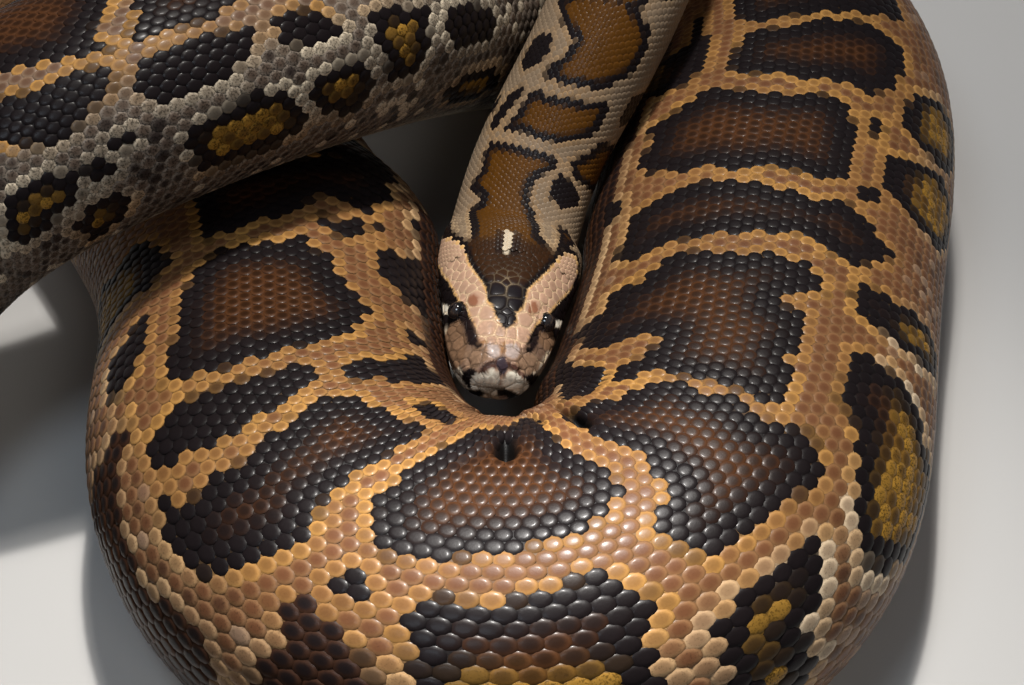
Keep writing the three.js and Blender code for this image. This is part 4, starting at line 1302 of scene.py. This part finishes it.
def plate_outline(i, middle, outward, size, axes, eyes):
    """A plate's outline on its own flat: it reaches its share of the way to each neighbour."""
    back, across = axes
    polygon = [np.array(corner) * size[i] * 1.8 for corner in PLATE_BOUND]
    offset = middle - middle[i]
    apart = np.linalg.norm(offset, axis=1)
    near = np.where((apart < size[i] * 1.6 + size + 3) & (outward @ outward[i] > 0.1) & (apart > 0))[0]
    for j in near:
        planar = np.array([offset[j] @ back, offset[j] @ across])
        away = np.linalg.norm(planar)
        if away > 0.3:
            polygon = clipped(polygon, planar / away, away * size[i] / (size[i] + size[j]))
    for eye in eyes:
        planar = np.array([(eye - middle[i]) @ back, (eye - middle[i]) @ across])
        away = np.linalg.norm(planar)
        if np.linalg.norm(eye - middle[i]) < 16 and away > 0.3:
            brow = (middle[i] - eye) @ HEAD_TURN[:, 2] > 0.5
            polygon = clipped(polygon, planar / away, away - EYE_RADIUS * (0.42 if brow else 0.80))
    return polygon


def plate_block(middle, axes, ring, size, tree, eyes):
    """A plate's points: rings of its outline drawn in and raised, each set down on the skin."""
    back, across, n = axes
    centre = ring.mean(axis=0)
    inset = max(0.84, 1 - PLATE_GAP / max(np.linalg.norm(ring - centre, axis=1).mean(), 0.3))
    points = []
    for share, height in zip(PLATE_RINGS, PLATE_RISE):
        spots = centre + (ring - centre) * share * inset if share else centre[None]
        for x, y in spots:
            p = middle + back * x + across * y
            hit = tree.ray_cast(Vector(to_frame(p + n * 6)), Vector(-n), 0.013)
            base = np.array(hit[0]) * 1000 + FLOOR_MIDDLE if hit[0] else p - n * 0.6
            spot = base + n * height * min(1.0, 0.35 + size / 7)
            for eye in eyes:
                away = spot - eye
                clear = EYE_RADIUS + 0.35 + height
                if away @ away < clear ** 2:
                    spot = eye + unit(away) * clear
            points.append(spot)
    return points


def plate_triangles():
    """The triangles between a plate's rings, and from the last ring to its middle."""
    turn = np.arange(PLATE_ROUND)
    after = (turn + 1) % PLATE_ROUND
    made = []
    for r in range(len(PLATE_RINGS) - 2):
        a, b = turn + r * PLATE_ROUND, after + r * PLATE_ROUND
        made += [np.stack([a, b, b + PLATE_ROUND], 1), np.stack([a, b + PLATE_ROUND, a + PLATE_ROUND], 1)]
    last = (len(PLATE_RINGS) - 2) * PLATE_ROUND
    made.append(np.stack([turn + last, after + last, np.full(PLATE_ROUND, last + PLATE_ROUND)], 1))
    return np.vstack(made)


def head_plates():
    """Plates that fit together over the head, each cut off where its neighbours begin."""
    q, u, size = plate_seeds()
    middle = surface(q, u, -SKIN_DEPTH * pitch(q))
    outward = outward_at(q, u)
    front = HEAD_TURN @ np.array([0, -1.0, 0])
    nose = smooth(-HEAD_LENGTH + 2.5, -HEAD_LENGTH, q)[:, None]
    outward = unit(outward * (1 - 0.75 * nose) + front * 0.75 * nose)
    eyes = [head_point(*place) for place in EYES]
    tree, places = skin_tree(), place_finder()
    blocks = []
    for i in range(len(q)):
        n = outward[i]
        back = HEAD_TURN[:, 1] if abs(HEAD_TURN[:, 1] @ n) < 0.97 else HEAD_TURN[:, 2]
        back = unit(back - n * (back @ n))
        across = np.cross(n, back)
        polygon = plate_outline(i, middle, outward, size, (back, across), eyes)
        if len(polygon) < 3:
            continue
        blocks.append(plate_block(middle[i], (back, across, n), rounded(polygon, PLATE_ROUND), size[i], tree,
                                  eyes))
    points = np.array(blocks)
    count, each = points.shape[:2]
    points = points.reshape(-1, 3)
    at_q, at_u = np.array(places(points)).T
    paint = marking(at_q, at_u, np.full(len(at_q), 0.5))[1]
    paint = paint.reshape(count, each, 3)
    paint = paint * rng.normal(1, 0.05, (count, 1, 1))
    ring = np.append(np.repeat(PLATE_RINGS[:-1], PLATE_ROUND), PLATE_RINGS[-1])
    rim, heart = smooth(0.86, 1.0, ring), smooth(0.6, 0.2, ring)
    paint = paint * (1 - 0.12 * heart[:, None])
    seams = seam_tone(paint, at_q.reshape(count, each), at_u.reshape(count, each))
    paint = mixed(paint, seams, np.broadcast_to(rim, (count, each)))
    uv = np.stack([(at_q + HEAD_LENGTH) / HEAD_LENGTH * 0.9 + 0.05, (at_u + 1) / 2], 1)
    triangles = copies(plate_triangles(), count, each)
    return mesh_piece("head_plates", points, triangles, np.clip(paint, 0, 1).reshape(-1, 3), uv)


# ------------------------------------------------------------------ eyes
def make_eye(name, place):
    """An eyeball, with its middle and the way it looks."""
    bm = bmesh.new()
    bmesh.ops.create_uvsphere(bm, u_segments=40, v_segments=28, radius=EYE_RADIUS / 1000)
    centre = to_frame(head_point(*place))
    bmesh.ops.translate(bm, verts=bm.verts[:], vec=Vector(centre))
    outward = HEAD_TURN @ unit(np.array([math.copysign(0.90, place[0]), -0.38, 0.22]))
    return shaped_piece(name, bm), centre, outward


# ------------------------------------------------------------------ finishes
class Value:
    """A shader socket that takes part in sums as a number does."""

    def __init__(self, finish, socket):
        self.finish, self.socket = finish, socket

    def math(self, operation, *values):
        return self.finish.node("ShaderNodeMath", {"operation": operation}, *values)

    def __add__(self, other):
        return self.math("ADD", self, other)

    def __radd__(self, other):
        return self.math("ADD", other, self)

    def __sub__(self, other):
        return self.math("SUBTRACT", self, other)

    def __rsub__(self, other):
        return self.math("SUBTRACT", other, self)

    def __mul__(self, other):
        return self.math("MULTIPLY", self, other)

    def __rmul__(self, other):
        return self.math("MULTIPLY", other, self)


class Finish:
    """A material and the one way that its nodes are added."""

    def __init__(self, name):
        self.material = bpy.data.materials.new(name)
        self.material.use_nodes = True
        self.tree = self.material.node_tree
        self.shader = self.tree.nodes["Principled BSDF"]

    def node(self, kind, settings=None, *values, out=0, places=None, **named):
        made = self.tree.nodes.new(kind)
        for key, setting in (settings or {}).items():
            if key == "stops":
                ramp = made.color_ramp.elements
                while len(ramp) < len(setting):
                    ramp.new(0.5)
                for element, (position, tint) in zip(ramp, setting):
                    element.position, element.color = position, (*tint, 1)
            else:
                setattr(made, key, setting)
        for key, value in [*enumerate(values), *(places or {}).items(), *named.items()]:
            self.feed(made.inputs[key], value)
        return Value(self, made.outputs[out])

    def set(self, **named):
        for key, value in named.items():
            self.feed(self.shader.inputs[key.replace("_", " ")], value)

    def feed(self, socket, value):
        if isinstance(value, Value):
            self.tree.links.new(value.socket, socket)
        else:
            socket.default_value = value

    def place(self):
        """Object coordinates."""
        return self.node("ShaderNodeTexCoord", out=3)


def mix_colour(finish, blend, factor, first, second):
    """A colour mix; the mix node's colour sockets are its seventh and eighth inputs."""
    return finish.node("ShaderNodeMix", {"data_type": "RGBA", "blend_type": blend},
                       places={0: factor, 6: first, 7: second}, out=2)


def toned_marks(finish, tone):
    """The kept markings, lightened or darkened by a tone."""
    marks = finish.node("ShaderNodeAttribute", {"attribute_name": "marking"})
    grey = finish.node("ShaderNodeCombineColor", None, tone, tone, tone)
    return mix_colour(finish, "MULTIPLY", 1.0, marks, grey)


def scaled_finish(name, roughness, gloss, grain, fleck):
    """Snake scale: the kept markings with a fine fleck, and a thin wet-looking gloss."""
    finish = Finish(name)
    place = finish.place()
    fine_noise = finish.node("ShaderNodeTexNoise", None, Vector=place, Scale=grain, Detail=4.0, Roughness=0.6)
    broad = finish.node("ShaderNodeTexNoise", None, Vector=place, Scale=55.0, Detail=3.0)
    # How freckled a scale is lies beside its colour; it thins the dots out or lets them crowd.
    amount = finish.node("ShaderNodeAttribute", {"attribute_name": "marking"}, out=3)
    dots = finish.node("ShaderNodeTexNoise", None, Vector=place, Scale=850.0, Detail=2.0, Roughness=0.7)
    freckles = finish.node("ShaderNodeMath", {"operation": "MULTIPLY", "use_clamp": True},
                           dots + amount * 0.12 - 0.61, 14.0) * amount
    tone = fine_noise * fleck + broad * 0.35 + (0.825 - fleck * 0.5)
    finish.set(Base_Color=toned_marks(finish, tone * (1.0 - freckles * 0.72)),
               Roughness=roughness + 0.08 * broad + 0.06 * fine_noise,
               Coat_Weight=gloss, Coat_Roughness=0.15, Coat_IOR=1.45, Specular_IOR_Level=0.11,
               Normal=finish.node("ShaderNodeBump", None, Strength=0.25, Distance=0.0002, Height=fine_noise))
    return finish.material


def skin_finish():
    """The bare skin between the scales: matt, with fine creases."""
    finish = Finish("skin_between_scales")
    place = finish.place()
    creases = finish.node("ShaderNodeTexVoronoi", {"feature": "DISTANCE_TO_EDGE"}, Vector=place, Scale=700.0)
    finish.set(Base_Color=toned_marks(finish, creases * 1.6 + 0.72), Roughness=creases * 0.3 + 0.5,
               Specular_IOR_Level=0.2,
               Normal=finish.node("ShaderNodeBump", None, Strength=0.4, Distance=0.0003, Height=creases))
    return finish.material


def eye_finish(name, centre, outward):
    """A dark brown iris round an upright slit, under a wet clear scale."""
    finish = Finish(name)
    place = finish.place()
    from_centre = finish.node("ShaderNodeVectorMath", {"operation": "SUBTRACT"}, place, tuple(centre))
    radius = EYE_RADIUS / 1000

    def reach(way, share):
        """How far a place lies from the middle along a direction, over a share of the radius."""
        dot = {"operation": "DOT_PRODUCT"}
        far = finish.node("ShaderNodeVectorMath", dot, from_centre, tuple(way), out=1)
        return far * (1 / (share * radius))

    def squared(value):
        return value.math("POWER", value, 2.0)

    upright = unit(HEAD_TURN[:, 2] - outward * (HEAD_TURN[:, 2] @ outward))
    sideways = np.cross(upright, outward)
    slit = squared(reach(sideways, 0.20)) + squared(reach(upright, 0.72))
    streaks = finish.node("ShaderNodeTexNoise", None, Vector=from_centre, Scale=1500.0, Detail=3.0)
    browns = {"stops": [(0.35, (0.012, 0.011, 0.013)), (0.7, (0.045, 0.032, 0.028))]}
    iris = finish.node("ShaderNodeValToRGB", browns, streaks)
    facing = reach(outward, 1)
    iris_shows = slit.math("GREATER_THAN", slit, 1.0) * facing.math("GREATER_THAN", facing, 0.35)
    tint = mix_colour(finish, "MIX", iris_shows, (0.004, 0.004, 0.005, 1), iris)
    finish.set(Base_Color=tint, Roughness=0.12, Coat_Weight=1.0, Coat_Roughness=0.02, Coat_IOR=1.5)
    return finish.material


def floor_finish():
    """Plain, pale and faintly clouded."""
    finish = Finish("pale_floor")
    place = finish.place()
    cloud = finish.node("ShaderNodeTexNoise", None, Vector=place, Scale=3.0, Detail=4.0)
    tone = cloud * 0.05 + 0.54
    pale = finish.node("ShaderNodeCombineColor", None, tone, tone * 0.985, tone * 0.965)
    finish.set(Base_Color=pale, Roughness=0.75)
    return finish.material


# ------------------------------------------------------------------ the model
skin = make_skin()
skin.data.materials.append(skin_finish())
flesh = [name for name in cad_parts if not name.startswith("eye")]
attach(skin, "root")
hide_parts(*flesh)

trunk_scale = scaled_finish("trunk_scales", 0.31, 0.05, 700.0, 0.30)
neck_scale = scaled_finish("neck_scales", 0.30, 0.06, 900.0, 0.30)
tail_scale = scaled_finish("tail_scales", 0.31, 0.05, 900.0, 0.30)
head_scale = scaled_finish("head_scales", 0.30, 0.10, 420.0, 0.35)

# A scale's make: its corners, and its rings as shares of the way out from its middle.
PLAIN = (7, (1.0, 0.72))
FINE = (10, (1.0, 0.80, 0.45))
COAT = [  # name, from and to behind the nape, rows, the scale's make, record slot, finish
    ("neck_front_scales", COAT_FROM, 150, TRUNK_ROWS, FINE, "skin_neck", neck_scale),
    ("neck_rear_scales", 150, 560, TRUNK_ROWS, PLAIN, "skin_neck", neck_scale),
    ("back_loop_scales", 560, 960, TRUNK_ROWS, PLAIN, "skin_trunk", trunk_scale),
    ("left_arm_rear_scales", 960, 1280, TRUNK_ROWS, PLAIN, "skin_trunk", trunk_scale),
    ("left_arm_scales", 1280, 1600, TRUNK_ROWS, FINE, "skin_trunk", trunk_scale),
    ("front_bend_scales", 1600, 1900, TRUNK_ROWS, FINE, "skin_trunk", trunk_scale),
    ("right_arm_scales", 1900, 2200, TRUNK_ROWS, FINE, "skin_trunk", trunk_scale),
    ("far_bend_scales", 2200, 2500, TRUNK_ROWS, PLAIN, "skin_trunk", trunk_scale),
    ("high_coil_scales", 2500, 2800, TRUNK_ROWS, FINE, "skin_trunk", trunk_scale),
    ("outer_coil_scales", 2800, 3280, TRUNK_ROWS, PLAIN, "skin_trunk", trunk_scale),
    ("tail_scales", 3280, BODY_LENGTH - 6, TAIL_ROWS, PLAIN, "skin_tail", tail_scale),
]
for name, start, end, rows, (corners, rings), slot, finish in COAT:
    piece = coat_piece(name, start, end, rows, corners, rings)
    piece.data.materials.append(finish)
    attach(piece, "root")

BELLY_LENGTHS = [("belly_plates_front", -30, 1300, "skin_trunk", trunk_scale),
                 ("belly_plates_rear", 1300, 3280, "skin_trunk", trunk_scale),
                 ("tail_plates", 3280, BODY_LENGTH - 6, "skin_tail", tail_scale)]
for name, start, end, slot, finish in BELLY_LENGTHS:
    piece = belly_plates(name, start, end)
    piece.data.materials.append(finish)
    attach(piece, "root")

plates = head_plates()
plates.data.materials.append(head_scale)
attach(plates, "root")

for name, place in zip(("left_eyeball", "right_eyeball"), EYES):
    eye, centre, outward = make_eye(name, place)
    eye.data.materials.append(eye_finish(name + "_finish", centre, outward))
    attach(eye, "root")
    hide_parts("eye_left" if name.startswith("left") else "eye_right")

# ------------------------------------------------------------------ floor, camera and lights
bm = bmesh.new()
bmesh.ops.create_grid(bm, x_segments=1, y_segments=1, size=6)
floor = shaped_piece("floor", bm)
floor.data.materials.append(floor_finish())

ELEVATION, DISTANCE, LENS = 44, 1.28, 83.8           # degrees, metres and millimetres
look_at = Vector(to_frame([0, 0, 75]))
camera_data = bpy.data.cameras.new("camera")
camera_data.lens = LENS
camera_data.sensor_width = 36
camera = placed("camera", camera_data)
lean = math.radians(ELEVATION)
camera.location = look_at + Vector((0, -math.cos(lean), math.sin(lean))) * DISTANCE
camera.rotation_euler = (math.pi / 2 - lean, 0, 0)
bpy.context.scene.camera = camera


def hang_light(data, place, toward, power, tint, sheen=True):
    """Hangs a light; one without sheen lights the model but isn't mirrored in it."""
    data.energy, data.color = power, tint
    lamp = placed(data.name, data)
    lamp.location = place
    lamp.rotation_euler = (Vector(toward) - Vector(place)).to_track_quat("-Z", "Y").to_euler()
    lamp.visible_glossy = sheen


def soft_disk(name, size):
    """A round soft light so many metres across."""
    data = bpy.data.lights.new(name, "AREA")
    data.shape, data.size = "DISK", size
    return data


def soft_spot(name, spread):
    """A soft-edged spotlight with a spread in degrees."""
    data = bpy.data.lights.new(name, "SPOT")
    data.spot_size, data.spot_blend, data.shadow_soft_size = math.radians(spread), 1.0, 0.05
    return data


# Each light with its place, what it points at, its power and its tint.
hang_light(soft_disk("key", 0.35), (0.10, 0.60, 2.35), (0.05, -0.05, 0.10), 30, (1.0, 0.96, 0.91), False)
hang_light(soft_disk("overhead", 0.7), (-0.5, -0.9, 2.2), (0.0, -0.1, 0.05), 9, (0.76, 0.88, 1.0))
hang_light(soft_disk("front_fill", 0.8), (0.7, -2.0, 1.6), (0.1, -0.1, 0.05), 6, (1.0, 0.95, 0.88), False)
hang_light(soft_spot("front_bend_beam", 24), (0.12, 0.70, 2.5), (0.05, -0.33, 0.10), 198, (1.0, 0.96, 0.90))
hang_light(soft_spot("front_bend_spot", 7), (0.09, 0.86, 2.5), (0.088, -0.325, 0.135), 430, (1.0, 0.97, 0.94))
world = bpy.data.worlds.new("studio")
world.use_nodes = True
world.node_tree.nodes["Background"].inputs["Color"].default_value = (0.80, 0.87, 1.0, 1)
world.node_tree.nodes["Background"].inputs["Strength"].default_value = 0.08
bpy.context.scene.world = world
bpy.context.scene.view_settings.view_transform = "Standard"
